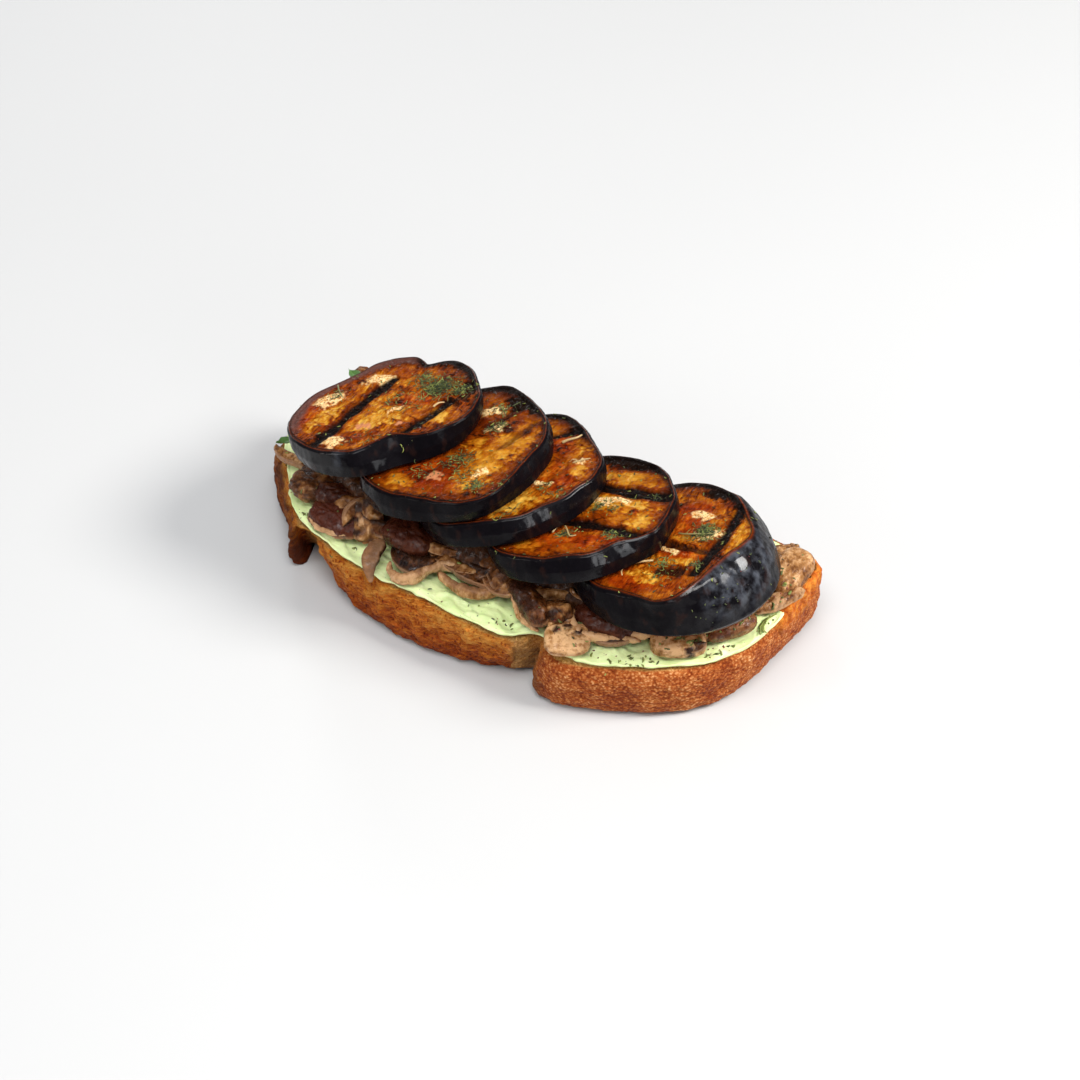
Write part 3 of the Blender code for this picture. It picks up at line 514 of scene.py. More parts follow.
def crust_material():
    g = Graph("toasted_crust")
    height, right, burnt, relief = g.attributes("height", "right", "burnt", "relief")
    along, rise, rim, crumb = g.attributes("along", "rise", "rim", "crumb")
    fibre = g.strands(along, rise, 0, 5, 0.65, 0.7)
    blotch, grain = g.noise(7, 4, 0.6, distortion=0.4), g.noise(0.7, 3, 0.6)
    streaks = g.strands(along * 3.4, rise * 1.5, 3, 4, 0.7, 0.5)
    threads = g.strands(along * 1.3, rise * 1.7, 7, 4, 0.72, 0.8)
    thin = g.range(g.math("ABSOLUTE", threads - 0.5), 0, 0.07, 1, 0)
    holes = g.range(g.cells(2.3, (0.7, 0.7, 1.3)), 0.10, 0.34, 0.17, 0)
    strands = fibre * 0.50 + threads * 0.45 + thin * 0.13 + grain * 0.15
    # relief: lighter on the crust's outward bumps and darker in its hollows, painted light and shade
    left = g.ramp(
        strands + blotch * 0.16 + height * 0.24 + relief * 0.06 - holes - 0.19,
        (0.36, 0.080, 0.009, 0.001), (0.47, 0.25, 0.030, 0.002), (0.58, 0.45, 0.082, 0.006),
        (0.70, 0.66, 0.19, 0.018), (0.84, 0.82, 0.38, 0.070),
    )
    speckle = g.range(g.cells(1, (1.1, 1.1, 0.9)), 0.15, 0.75, 0.18, -0.12) + (streaks - 0.5) * 0.85
    # relief here too: painted light on the bumps, painted shade in the hollows
    right_side = g.ramp(
        speckle * 0.8 + grain * 0.45 + blotch * 0.45 + relief * 0.14,
        (0.26, 0.20, 0.028, 0.003), (0.42, 0.38, 0.082, 0.013), (0.55, 0.51, 0.155, 0.036),
        (0.68, 0.68, 0.30, 0.105), (0.86, 0.86, 0.56, 0.33),
    )
    orange = g.ramp(
        g.noise(2.6, 4, 0.62) * 0.7 + fibre * 0.35,
        (0.36, 0.28, 0.040, 0.004), (0.50, 0.58, 0.135, 0.012), (0.62, 0.74, 0.27, 0.035),
        (0.74, 0.84, 0.45, 0.12),
    )
    colour = g.mix(rim, g.mix(right, left, right_side), orange)
    scorched = g.mix(blotch, (0.028, 0.004, 0.001), (0.135, 0.024, 0.004))
    colour = g.mix(burnt * g.range(fibre, 0.25, 0.75, 1, 0.80), colour, scorched)
    # crumb colour: torn crumb on top and in the notch, and painted light on the shaded recess wall beside the
    # flap
    colour = g.mix(crumb, colour, g.mix(g.range(grain, 0.3, 0.7), (0.40, 0.16, 0.035), (0.74, 0.43, 0.15)))
    normal = g.bump(g.blend(right, threads + thin * 0.5, streaks), 0.7, 0.9, g.bump(fibre, 0.8, 0.8))
    return g.finish(
        Base_Color=colour, Roughness=g.range(blotch, 0.3, 0.7, 0.42, 0.68),
        Normal=g.bump(grain, 0.35, 0.7, normal), Specular_IOR_Level=0.13,
    )


def spread_material():
    g = Graph("herb_spread")
    cloud = g.noise(9)
    colour = g.mix(g.range(cloud, 0.3, 0.7), (0.68, 0.82, 0.35), (0.80, 0.91, 0.45))
    colour = g.mix(g.range(g.noise(1.6, 3, 0.6), 0.45, 0.8) * 0.4, colour, (0.86, 0.94, 0.56))
    colour = g.mix(g.range(g.cells(4.2), 0, 0.12, 1, 0) * 0.75, colour, (0.16, 0.25, 0.05))
    normal = g.bump(g.noise(2.2, 3, 0.5, (1.6, 0.8, 1), 0.8), 0.5, 0.6)
    return g.finish(
        Base_Color=colour, Roughness=g.range(cloud, 0.3, 0.7, 0.34, 0.5),
        Normal=g.bump(g.noise(0.9), 0.14, 0.6, normal), Subsurface_Weight=0.12,
        Subsurface_Radius=(0.6, 1, 0.4), Subsurface_Scale=0.002,
    )


def flesh_colour(g, string, pores, pale):
    """Grilled flesh: one ramp from gold to black for its golden parts, one for its red parts."""
    tone, stringy, redness, pink = g.attributes("tone", "stringy", "red", "pink")
    value = tone + (string - 0.5) * stringy + (g.noise(2.8, 4, 0.62, distortion=0.6) - 0.5) * 0.30
    gold = g.ramp(
        value,
        (0.04, 0.60, 0.32, 0.045), (0.20, 0.45, 0.175, 0.011), (0.35, 0.31, 0.084, 0.003),
        (0.52, 0.17, 0.036, 0.001), (0.72, 0.060, 0.011, 0.001), (0.90, 0.009, 0.003, 0.001),
    )
    red = g.ramp(
        value,
        (0.04, 0.60, 0.22, 0.032), (0.20, 0.45, 0.100, 0.006), (0.36, 0.31, 0.044, 0.002),
        (0.54, 0.19, 0.019, 0.001), (0.74, 0.062, 0.006, 0.001), (0.92, 0.009, 0.003, 0.001),
    )
    cream = g.mix(g.range(g.noise(0.9, 4, 0.65), 0.36, 0.58), (0.50, 0.19, 0.025), (0.86, 0.62, 0.30))
    flesh = g.mix(pale, g.mix(redness, gold, red), g.mix(pores * 0.9, cream, (0.13, 0.028, 0.003)))
    return g.mix(pink, flesh, (0.50, 0.19, 0.08))


def eggplant_material():
    g = Graph("grilled_eggplant")
    char, peel, pale, dusk, worn = g.attributes("char", "peel", "pale", "dusk", "worn")
    painted_reflection, shine, u, v = g.attributes("painted_reflection", "shine", "fibre_u", "fibre_v")
    string, pores = g.strands(u, v, 0, 5, 0.66, 0.9), g.range(g.cells(1.25), 0.12, 0.34, 1, 0)
    flesh = flesh_colour(g, string, pores, pale)
    crisp = g.mix(g.range(g.noise(0.6), 0.45, 0.75), (0.003, 0.002, 0.002), (0.014, 0.007, 0.004))
    flesh = g.mix(dusk, flesh, g.mix(string, (0.045, 0.018, 0.018), (0.17, 0.065, 0.045)))
    skin = g.mix(g.noise(4, 4, 0.6), (0.0018, 0.0016, 0.0022), (0.0055, 0.0042, 0.0056))
    skin = g.mix(worn, skin, (0.020, 0.008, 0.006))
    # painted reflection: grey-blue patches mixed into the peel's colour
    reflection_patches = painted_reflection * g.range(g.noise(4, 4, 0.6, distortion=0.2), 0.35, 0.72)
    skin = g.mix(reflection_patches, skin, (0.060, 0.065, 0.078))
    wet = g.range(g.noise(2.4), 0.35, 0.65, 0.13, 0.38)
    rough = g.blend(peel, wet, g.range(g.noise(2.6, 4), 0.3, 0.7, 0.16, 0.40))
    height = (string + pores * (pale * -1.2)) * g.range(peel, 0, 1, 1, 0.10)
    fine = g.noise(0.5, 2) * g.range(peel, 0, 1, 1, 0.2)
    normal = g.bump(fine, 0.14, 0.6, g.bump(height, 0.32, 0.8))
    coat = shine * g.range(g.noise(9), 0.36, 0.62, 0.35, 0.95)
    oil = g.range(g.noise(1.2, 3, 0.6), 0.58, 0.66)
    return g.finish(
        Base_Color=g.mix(peel, g.mix(char, flesh, crisp), skin), Roughness=g.blend(char * 0.5, rough, 0.42),
        Normal=normal, Coat_Normal=normal, Coat_Weight=g.blend(peel, oil, coat),
        Specular_IOR_Level=0.02, Coat_Roughness=0.14, Coat_IOR=1.34,
    )


def mushroom_material():
    g = Graph("fried_mushroom")
    tone, rim, gill, maroon = g.attributes("tone", "rim", "gill", "maroon")
    grain, blotch = g.noise(1.2, 5, 0.62, (1, 1, 1.6), 0.5), g.noise(5, 4, 0.6, distortion=0.4)
    flesh = g.ramp(
        tone + (grain - 0.5) * 0.55 + (blotch - 0.5) * 0.7,
        (0.10, 0.007, 0.002, 0.001), (0.32, 0.046, 0.014, 0.003), (0.50, 0.130, 0.044, 0.011),
        (0.70, 0.31, 0.138, 0.042), (0.92, 0.62, 0.36, 0.17),
    )
    colour = g.mix(rim * 0.75, flesh, g.mix(blotch, (0.16, 0.055, 0.022), (0.58, 0.34, 0.18)))
    # gill: dark gills and stains, and on whole caps painted shade in their creases
    colour = g.mix(gill, colour, g.mix(grain, (0.008, 0.004, 0.002), (0.050, 0.018, 0.009)))
    colour = g.mix(g.range(g.noise(1.6), 0.58, 0.75) * 0.35, colour, (0.15, 0.022, 0.008))
    colour = g.mix(maroon * 0.85, colour, g.mix(grain, (0.020, 0.004, 0.002), (0.140, 0.030, 0.014)))
    normal = g.bump(g.noise(0.5), 0.16, 0.6, g.bump(grain, 0.45, 0.8))
    return g.finish(
        Base_Color=colour, Roughness=g.range(grain, 0.3, 0.7, 0.18, 0.42), Normal=normal,
        Coat_Weight=g.range(g.noise(1.8, 3, 0.6), 0.50, 0.62) * 0.8, Coat_Normal=normal,
        Specular_IOR_Level=0.12, Coat_Roughness=0.15, Coat_IOR=1.45,
    )


def shred_material(name, low, high, roughness):
    """Dry leaf or spice: each shred has its own tone, with a little grain."""
    g = Graph(name, roughness)
    tone = g.attributes("tone")[0] + (g.noise(0.6) - 0.5) * 0.4
    return g.finish(Base_Color=g.ramp(tone, (0, *low), (1, *high)), Normal=g.bump(g.noise(0.4, 2), 0.08))


# ---------------------------------------------------------------- bread


def crust_outline(count):
    """Evenly spaced rows along the top edge: x, y and how far the foot stands out."""
    anchors = list(FRONT_CRUST)
    for degrees in range(64, 176, 14):
        c, s = turned_by(degrees)
        x = BREAD_LENGTH / 2 * signed(c, 2 / BACK_EXPONENT) + 0.8
        anchors.append((x, BREAD_WIDTH / 2 * signed(s, 2 / BACK_EXPONENT), 0.5))
    rows = np.array(anchors, float)
    fine = spline([rows[-1], *rows, rows[0], rows[1]], 24)
    run = np.concatenate([[0], np.cumsum(np.linalg.norm(np.diff(fine[:, :2], axis=0), axis=1))])
    at = np.linspace(0, run[-1], count, endpoint=False)
    return np.stack([np.interp(at, run, column) for column in fine.T], axis=1)


def build_bread(material):
    rows = crust_outline(BREAD_STEPS)
    outline, foot = rows[:, :2], rows[:, 2]
    normal = outward(outline)
    knots = np.array(((0, 3.6), (0.5, 2.1), (2, 0.7), (5.5, -0.1), (11, -0.4), (16, 0), (18.8, 1), (20, 2.8)))
    heights = np.array([0, 0.2, 0.5, 0.9, 1.4, *np.arange(2, 18.6, 0.42), 18.8, 19.2, 19.6, 19.85, 20])
    insets = np.interp(heights, *knots.T)
    insets[1:-1] = 0.25 * insets[:-2] + 0.5 * insets[1:-1] + 0.25 * insets[2:]
    heights = np.array([0, 0, *heights, 20, 20, 20, 20, 20, 20])[:, None]
    inset = np.array([12, 6, *insets, 3.4, 4, 4.8, 6, 8, 11])[:, None]
    x, y = outline.T[:, None] + 0 * heights
    z = heights + 0 * x
    flat = grid(x, y, z)

    # the crust's crags, and the recess under the edge beside the flap
    torn = smooth(-62, -50, x) * (1 - smooth(24, 32, x)) * smooth(5, -15, y)
    crag = ripples(x, y, z * 0.45, 6, 1) + 0.6 * ripples(x, y, z, 3.2, 2)
    crag += 0.8 * torn * ripples(x * 0.5, y, z * 1.3, 4, 3)
    crag *= 1 - 0.55 * smooth(30, 40, x)
    crag += 1.1 * bell(x, 34, 4.5) * smooth(-30, -38, y) * ripples(x, y, z, 2.8, 7)
    on_side = smooth(-0.8, 1.2, z) * (1 - 0.6 * smooth(17, 20, z)) * (inset < 3.5)
    recess = smooth(-70.8, -69.2, x) * smooth(-56, -63, x) * smooth(-28, -34, y)
    hang = (1 - z / BREAD_HEIGHT) ** (0.8 - 0.40 * recess)
    inside = inset - foot * hang - CRUST_RELIEF * crag * on_side

    # finer than the solid: strings and pits of the torn side, pebbles of the right lobe
    right = smooth(30, 36, x)
    strings = fractal(flat * (0.45, 0.45, 1), 1.5, 31)
    slanted = fractal(grid(x, y, z + 0.55 * x) * (0.5, 0.5, 1.1), 2.4, 37)
    pits = smooth(0.25, 0.6, fractal(flat, 2.6, 41, 2))
    pebbles = np.abs(fractal(flat, 1.7, 43, 2))
    fine = (1 - right) * (0.34 * strings + 0.42 * slanted - 0.40 * pits)
    fine += right * (0.30 * pebbles - 0.15 + 0.24 * strings - 0.15 * pits)
    inside -= fine * smooth(0, 1.4, z) * (inset < 4.5)

    # the raised, frilled rim at the right end
    jag = gradient_noise(flat * (1, 1, 0), 3.2, 45)
    front = smooth(44, 36, y)
    wall = (3.4 + 1.1 * jag) * smooth(91, 98, x) * smooth(3, 13, y) * front * smooth(4.6, 3, inset)
    near_top = heights > 17
    z = z + RIM_LIFT * smooth(78, 97, x) * smooth(2, 14, y) * near_top + wall * smooth(11, 20, z)
    z = z + near_top * (0.35 * ripples(x, y, 0, 9, 4) + 0.18 * strings)
    frill = fractal(flat * (1, 1, 0.6), 3.6, 48, 2) * smooth(84, 93, x) * smooth(-6, 6, y) * front
    inside -= 1.3 * frill * smooth(12, 18, z) * (inset < 5)

    # the two lowest rings run straight in under the bread
    px = x - normal[:, 0] * inside - 5.5 * recess * hang
    py = y - normal[:, 1] * inside
    goal = np.clip(0.84 * x[0], -80, 80) - 20 * bell(x[0], -71.5, 5) * smooth(-20, -30, y[0])
    for level, part in ((0, 0.85), (1, 0.35)):
        px[level] = px[2] + part * (goal - px[2])
        py[level] = py[2] * (1 - part)
    rows = grid(px, py, np.maximum(z, 0))
    low, high = (np.array(corner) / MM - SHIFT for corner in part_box("bread"))
    least, most = rows.min(axis=(0, 1)), rows.max(axis=(0, 1))
    rows[..., :2] = (low + (rows - least) * (high - low) / (most - least))[..., :2]

    # where it is scorched, darker towards the foot, orange, or torn open to the crumb, and where crumb colour
    # is painted light on the shaded recess wall
    patch = fractal(flat, 6, 47, 2)
    ear = smooth(-84, -77, x) * smooth(-67.5, -70, x) * smooth(-22, -28, y) * smooth(13, 3, z)
    left_end = smooth(-62, -68, x) * smooth(10, -2, y) * smooth(20.5, 18.5, z + 0.4 * crag)
    burnt = left_end * (0.62 + 0.38 * smooth(-0.15, 0.25, patch + 0.25 * crag)) * (1 - 0.8 * recess)
    corner = bell(x, 34, 4.2) * smooth(-33, -39, y) * smooth(20, 9, z + 6 * patch)
    notch = bell(x, 28.5, 4) * smooth(-30, -38, y) * smooth(1, 3, z)
    crumb = (heights >= 19.9) * smooth(2.6, 4, inset) + 0.8 * notch
    run = np.cumsum(np.linalg.norm(np.roll(outline, -1, axis=0) - outline, axis=1))
    return ring_piece("bread_slice", rows, material, ["bread"], {
        # relief: the crags and pits as colour, lighter out and darker in: painted light and shade
        "height": np.clip(z / 20, 0, 1), "right": right, "relief": np.clip(crag + 1.5 * fine, -1, 1),
        # the burnt mask also holds a darkening towards the foot, in the lowest 2.5 mm of the side
        "burnt": np.clip(1.1 * ear + 0.40 * smooth(2.5, 0.3, z) + burnt + 0.9 * corner, 0, 1),
        "rim": smooth(88, 96, x) * smooth(0, 10, y) * smooth(13, 20, z + 1.5 * crag),
        # on the recess wall beside the flap the crumb colour is painted light, lifting a wall that lies in
        # shade
        "crumb": np.clip(crumb + 0.6 * recess * smooth(-69, -66, x) * smooth(18, 12, z), 0, 1),
        "along": run * 0.20 + 0.42 * z, "rise": z * 1.05 - run * 0.30 + inset * 0.8,
    })


# ---------------------------------------------------------------- spread


def smoothed(outline, times):
    for _ in range(times):
        outline = (np.roll(outline, 1, axis=0) + 2 * outline + np.roll(outline, -1, axis=0)) / 4
    return outline


def build_spread(material):
    rows = crust_outline(SPREAD_STEPS)[:, :2]
    keep = smooth(66, 84, rows[:, :1])  # the spread bridges the scores, but follows the right end
    outline = smoothed(smoothed(rows, 200) * (1 - keep) + rows * keep, 12)
    x, y = outline.T
    margin = SPREAD_INSET + smooth(84, 99, x) * smooth(14, 30, y)
    margin += 2.5 * smooth(20, 40, y) * smooth(100, 85, x)
    margin += SPREAD_WAVE * ripples(x, y, 0, 11, 5) + 0.55 * ripples(x, y, 0, 3.5, 15)
    brim = smooth(86, 96, x) * smooth(24, 12, y) * smooth(-24, -14, y)
    edge = outline - outward(outline) * (margin * (1 - 0.45 * brim))[:, None]
    towards = np.stack([np.clip(edge[:, 0] * 0.8, -62, 62), 0 * x], axis=1) - edge
    towards /= np.linalg.norm(towards, axis=1, keepdims=True)

    # rings as share of the thickness and inset: the rounded edge, then the top
    rings = ((0, 6), (0, 1.6), (0.15, 0.7), (0.32, 0.15), (0.5, 0), (0.68, 0.25), (0.82, 0.8), (0.92, 1.5))
    rings += ((0.98, 2.3), (1, 3), *((1, inset) for inset in np.linspace(3.5, 34, 58)))
    shares, insets = np.array(rings).T[:, :, None]
    base = BREAD_HEIGHT + GAP + 0.3
    thick = SPREAD_TOP - base
    px, py = (edge.T[k] + towards.T[k] * insets for k in (0, 1))
    lift = RIM_LIFT * smooth(78, 97, px) * smooth(2, 14, py)
    pz = base + shares * thick + 0.9 * lift * (1 - np.clip(shares / 0.45, 0, 1))

    # swirls, folds, ridges and dabs of the knife
    flat = grid(px, py, 0)
    swirl = np.sin(0.42 * (px + 0.6 * py) + 2.2 * ripples(px, py, 0, 16, 6))
    ridges = np.sin(1.25 * insets + 3.4 * fractal(flat, 7, 55, 2))
    dabs = smooth(0.25, 0.7, fractal(flat * (0.7, 1, 1), 3.4, 57, 2))
    sink = SWIRL_DEPTH * (0.5 - 0.5 * swirl) * smooth(0.6, 0.9, shares)
    sink += (0.28 + 0.34 * fractal(flat * (0.6, 1, 1), 5, 51, 2)) * smooth(0.5, 0.9, shares)
    sink += (0.30 - 0.22 * ridges - 0.60 * dabs) * smooth(0.7, 1, shares)
    pz -= np.clip(sink, -0.1, 0.72 * thick)
    side = smooth(0, 0.5, shares) * smooth(1, 0.75, shares)
    droop = 0.35 * gradient_noise(grid(px, py, 3 * pz), 3, 53) * side
    pz -= 1.1 * brim * smooth(0.5, 0, shares) * smooth(1.8, 0.4, insets)
    rows = grid(px - towards[:, 0] * droop, py - towards[:, 1] * droop, pz)
    return ring_piece("herb_spread", rows, material, ["spread"], {})


# ---------------------------------------------------------------- eggplant slices


def slice_frames():
    """Each slice's matrix in millimetres: local +Z out of its grilled face, +X up the tilt."""
    right = Vector((turned_by(SLICE_TILT)[0], 0, turned_by(SLICE_TILT)[1]))
    back = Vector((0, turned_by(SLICE_DROP)[0], -turned_by(SLICE_DROP)[1]))
    up = right.cross(back).normalized()
    turn = Matrix((right, up.cross(right), up)).transposed().to_4x4()
    frames, height, below = {}, LAST_SLICE_TOP, None
    for name, x, y, *_ in reversed(SLICES):
        if below:
            height += (SLICE_THICKNESS + GAP - up.x * (x - below[0]) - up.y * (y - below[1])) / up.z
        frames[name] = Matrix.Translation((x, y, height)) @ turn
        below = x, y
    return frames


FRAMES = slice_frames()


def placed(points, matrix):
    return points @ np.array(matrix.to_3x3()).T + np.array(matrix.translation)


def slice_edge(spec, degrees, depth):
    """x, y of a slice's side at a share of its depth, in its own plane."""
    angle = np.radians(degrees)
    c, s = np.cos(angle), np.sin(angle)
    radius = spec[3] + 0 * degrees * depth
    for middle, swell, width in spec[4]:
        off = (degrees - middle + 180) % 360 - 180
        radius = radius + swell * np.exp(-0.5 * (off / width) ** 2) * (1 - FOOT_ROUNDNESS * depth)
    radius = radius + 0.25 * ripples(c * 9, s * 9, 0, 4, 8)
    inset = np.interp(depth, *PEEL_PROFILE)
    radius = radius - inset + PEEL_FLARE * np.maximum(0, -s) ** 0.7 * depth**0.8
    x, y = radius * c, radius * s
    if spec is SLICES[-1]:
        blend, foot = depth**0.7, WEDGE_FOOT[2] - inset
        x = x + (WEDGE_FOOT[0] + foot * c - x) * blend
        y = y + (WEDGE_FOOT[1] + foot * s - y) * blend
    return x, y


def thickness_at(spec, x):
    return WEDGE_MIDDLE + WEDGE_SLOPE * x if spec is SLICES[-1] else SLICE_THICKNESS + 0 * x


def along_across(points, x, y, degrees, warp=0, shear=0):
    """Coordinates along and across a direction, from x, y."""
    c, s = turned_by(degrees)
    dx, dy = points[..., 0] + warp - x, points[..., 1] - shear - y
    return dx * c + dy * s, dy * c - dx * s


def patch_mask(points, row, warp):
    """Soft-edged ellipse with a torn outline."""
    x, y, long, short, angle = row
    along, across = along_across(points, x, y, angle, 1.3 * warp, 1.1 * warp)
    return smooth(1.15, 0.80, np.hypot(along / long, across / short) + 0.42 * warp)


def bar_mask(points, row, warp, wider=0):
    """Distance-based mask of a grill bar, and its black."""
    x, y, angle, length, width, black = row
    along, across = along_across(points, x, y, angle)
    across = across + 0.55 * warp + 0.9 * np.sin(along * 0.11 + x)
    off = np.hypot(across, 1.4 * np.maximum(np.abs(along) - length / 2, 0))
    uneven = 1 + 0.16 * np.sin(along * 0.45 + 2 * x) + 0.12 * np.sin(along * 0.21 + y)
    half = (width + wider) / 2 * uneven
    return smooth(half + 1, half - 0.2, off) * black


def grill_face(name, face, away, rim, seed):
    """Colours and relief of a grilled face at points of its plane, away from its rim in mm."""
    warp, slow = fractal(face, 2.6, seed + 2), fractal(face, 9, seed + 3, 2)
    turned = grid(*along_across(face, 0, 0, BARS[name][0][2]), face[..., 2])
    strings = fractal(turned * (0.42, 1, 1), 1.7, seed + 4)
    fine = fractal(turned * (0.7, 1, 1), 0.85, seed + 5, 2)
    masks = {kind: 0 * warp for kind in ("pale", "gold", "red", "dark", "pink")}
    for kind, rows in PATCHES[name].items():
        masks[kind] = np.max([patch_mask(face, row, warp) for row in rows], axis=0)
    bars = [bar_mask(face, row, warp) for row in BARS[name]]
    halo = np.max([bar_mask(face, row, 1.6 * warp, 3) for row in BARS[name]], axis=0)

    # browned round the rim and along seared lines
    ring = smooth(3.4, 0.4, away + 0.9 * slow)
    back = smooth(0.35, 0.95, face[..., 1] / rim)
    browned = smooth(7.5 + 3 * back, 1, away + 2 * slow)
    ridge = smooth(0.80, 0.97, 1 - np.abs(fractal(face * (0.8, 1, 1), 4.2, seed + 7, 2)))
    ridge = ridge * smooth(-0.15, 0.35, gradient_noise(face, 11, seed + 8))
    lines = smooth(0.90, 0.985, 1 - np.abs(fractal(face * (0.7, 1, 1), 7, seed + 12)))
    lines = lines * smooth(-0.05, 0.4, gradient_noise(face, 9, seed + 13))
    stringy = GRAIN[name][0] + 0.5 * gradient_noise(face, 8, seed + 14)
    tone = GRAIN[name][1] + 0.20 * slow + 0.10 * warp + 0.10 * strings * stringy + 0.05 * fine
    tone += 0.20 * ridge + 0.30 * lines + 0.05 * masks["red"] - 0.20 * masks["gold"] + 0.40 * masks["dark"]
    tone += (0.10 + 0.26 * back) * browned + (0.12 + 0.24 * back) * ring + 0.15 * halo
    redness = 0.30 + 0.7 * masks["red"] - 0.8 * masks["gold"] + 0.35 * slow + 0.2 * warp
    specks = smooth(0.66, 0.8, fractal(face, 1.1, seed + 6, 1)) * (1 - masks["pale"])
    char = np.max(bars, axis=0) * (1 - 0.18 * smooth(0.3, 0.7, fine))
    char = np.maximum(np.clip(char + 0.4 * specks, 0, 1), 0.9 * smooth(1.3, 0.3, away + 0.35 * warp))
    char = np.maximum(char, back * 0.75 * smooth(4.6, 1.2, away + 1.2 * slow))
    dusk = 0 * tone
    if name == "eggplant_1":
        angle = np.degrees(np.arctan2(face[..., 1], face[..., 0])) % 360
        dusk = smooth(92, 104, angle) * smooth(232, 215, angle) * smooth(4.6, 2.6, away + 1.2 * slow)
        char = char * (1 - 0.75 * dusk)

    sunk = 0.35 + 0.45 * np.abs(ripples(face[..., 0], face[..., 1], 0, 9, 9))
    sunk += 0.3 * ripples(face[..., 0], face[..., 1], 0, 4, 10)
    relief = 0.28 * (1 - np.abs(strings)) + 0.16 * fine + 0.3 * warp * smooth(1, 4, away) - 0.28
    relief += 0.35 * masks["pale"] * (0.6 + 0.6 * np.abs(fine)) - 0.35 * masks["dark"]
    groove = sum(mask for mask, row in zip(bars, BARS[name]) if row[5] > 0.5)
    z = relief * smooth(0.2, 1.6, away) - np.maximum(sunk, 0.05) * smooth(0, 5, away)
    z = z - 0.85 * np.clip(groove, 0, 1) - 0.35 * bell(away, 1.7, 0.7)  # it shrinks from the peel
    return np.minimum(z, -0.04), {
        "dusk": dusk, "stringy": np.clip(stringy, 0.2, 1.4), "fibre_u": turned[..., 0] * 0.24,
        "fibre_v": turned[..., 1] * 1.05, "peel": smooth(0.9, 0.2, away) * 0.6, "tone": tone,
        "red": np.clip(redness, 0, 1), "char": char, "pale": masks["pale"], "pink": masks["pink"],
        "shine": 0.3 + 0 * tone, "worn": 0 * tone, "painted_reflection": 0 * tone,
    }


def build_slice(spec, material):
    name = spec[0]
    seed = 100 + 10 * int(name[-1])
    angles = np.linspace(0, 360, SLICE_STEPS, endpoint=False)[None]
    side = [*np.linspace(1, 0.9, 6), *np.linspace(0.87, 0.1, 21), 0.08, 0.055, 0.03, 0.012, 0]
    side = np.array(side)[:, None]
    x, y = slice_edge(spec, angles, side + 0 * angles)
    z = -thickness_at(spec, x) * side

    # the peel's creases
    turn = (angles + 180) % 360 - 180
    crease = fractal(grid(x, y, z) * (1, 1, 0.45), 3.4, seed)
    if name == "eggplant_5":
        coarse = fractal(grid(x, y, z), 5, seed + 15, 2)
        crease = crease + 1.6 * coarse * smooth(-75, -50, turn) * smooth(50, 20, turn)
    fold = gradient_noise(grid(x, y, z) * (1, 1, 0.5), 11, seed + 1)
    push = 0.16 * crease * smooth(0, 0.1, side) * smooth(1, 0.88, side)
    push = 1 + (push + 0.55 * fold * smooth(1, 0.8, side) - 0.35) / np.hypot(x, y)
    x, y = x * push, y * push
    lip = 0.45 * gradient_noise(grid(x[-1], y[-1], 0), 8, seed + 9)
    z = z + np.minimum(lip - 0.25, 0.05) * smooth(0.35, 0, side)

    # the grilled face, ring by ring from its rim to its middle, and the plain underside
    rim = np.hypot(x[-1], y[-1]).mean()
    shares = 1 - np.array([0.35, 0.75, 1.15, 1.6, *np.arange(2.1, rim - 0.4, 0.52)])[:, None] / rim
    face = grid(shares * x[-1], shares * y[-1], 0)
    away = (1 - shares + 0 * x[-1]) * rim
    face_z, on_face = grill_face(name, face, away, rim, seed)
    face[..., 2] = np.minimum(face_z, z[-1] * smooth(5, 0.5, away) - 0.02)
    low_shares = np.array((0.15, 0.4, 0.7, 0.9, 0.97))[:, None]
    under = grid(low_shares * x[0], low_shares * y[0], -thickness_at(spec, low_shares * x[0]))

    # painted reflection: a slate-blue sheen on the wedge's wide right side and a grey-blue facet on the first
    # slice's peel, painted into the skin colour
    painted_reflection = 0
    if name == "eggplant_5":
        painted_reflection = smooth(-50, -26, turn) * smooth(36, 8, turn) * smooth(0.95, 0.45, side)
    if name == "eggplant_1":
        painted_reflection = 0.5 * bell(turn, -88, 5) * smooth(1, 0.2, side)
    shine_at, shine_wide = SHEEN[name]
    shine = 0.14 + 0.86 * bell((angles - shine_at + 180) % 360 - 180, 0, shine_wide)
    on_side = {
        "stringy": 0.5, "tone": 0.6, "red": 0.5, "shine": shine, "painted_reflection": painted_reflection,
        "fibre_u": np.radians(angles) * rim * 0.3, "fibre_v": side * 6,
        "peel": smooth(0.985, 0.95, side) * smooth(0, 0.02, side), "worn": smooth(0.35, 0.75, crease) * 0.5,
    }
    on_under = {"stringy": 0.5, "shine": 0.3, "tone": 0.5, "red": 0.5, "pale": 0.15}
    attributes = {}
    for key, values in on_face.items():
        parts = on_under.get(key, 0) + 0 * under[..., 0], on_side.get(key, 0) + 0 * x, values
        attributes[key] = np.concatenate(parts)
    rows = placed(np.concatenate([under, grid(x, y, z), face]), FRAMES[name])
    return ring_piece(name + "_grilled", rows, material, [name], attributes)


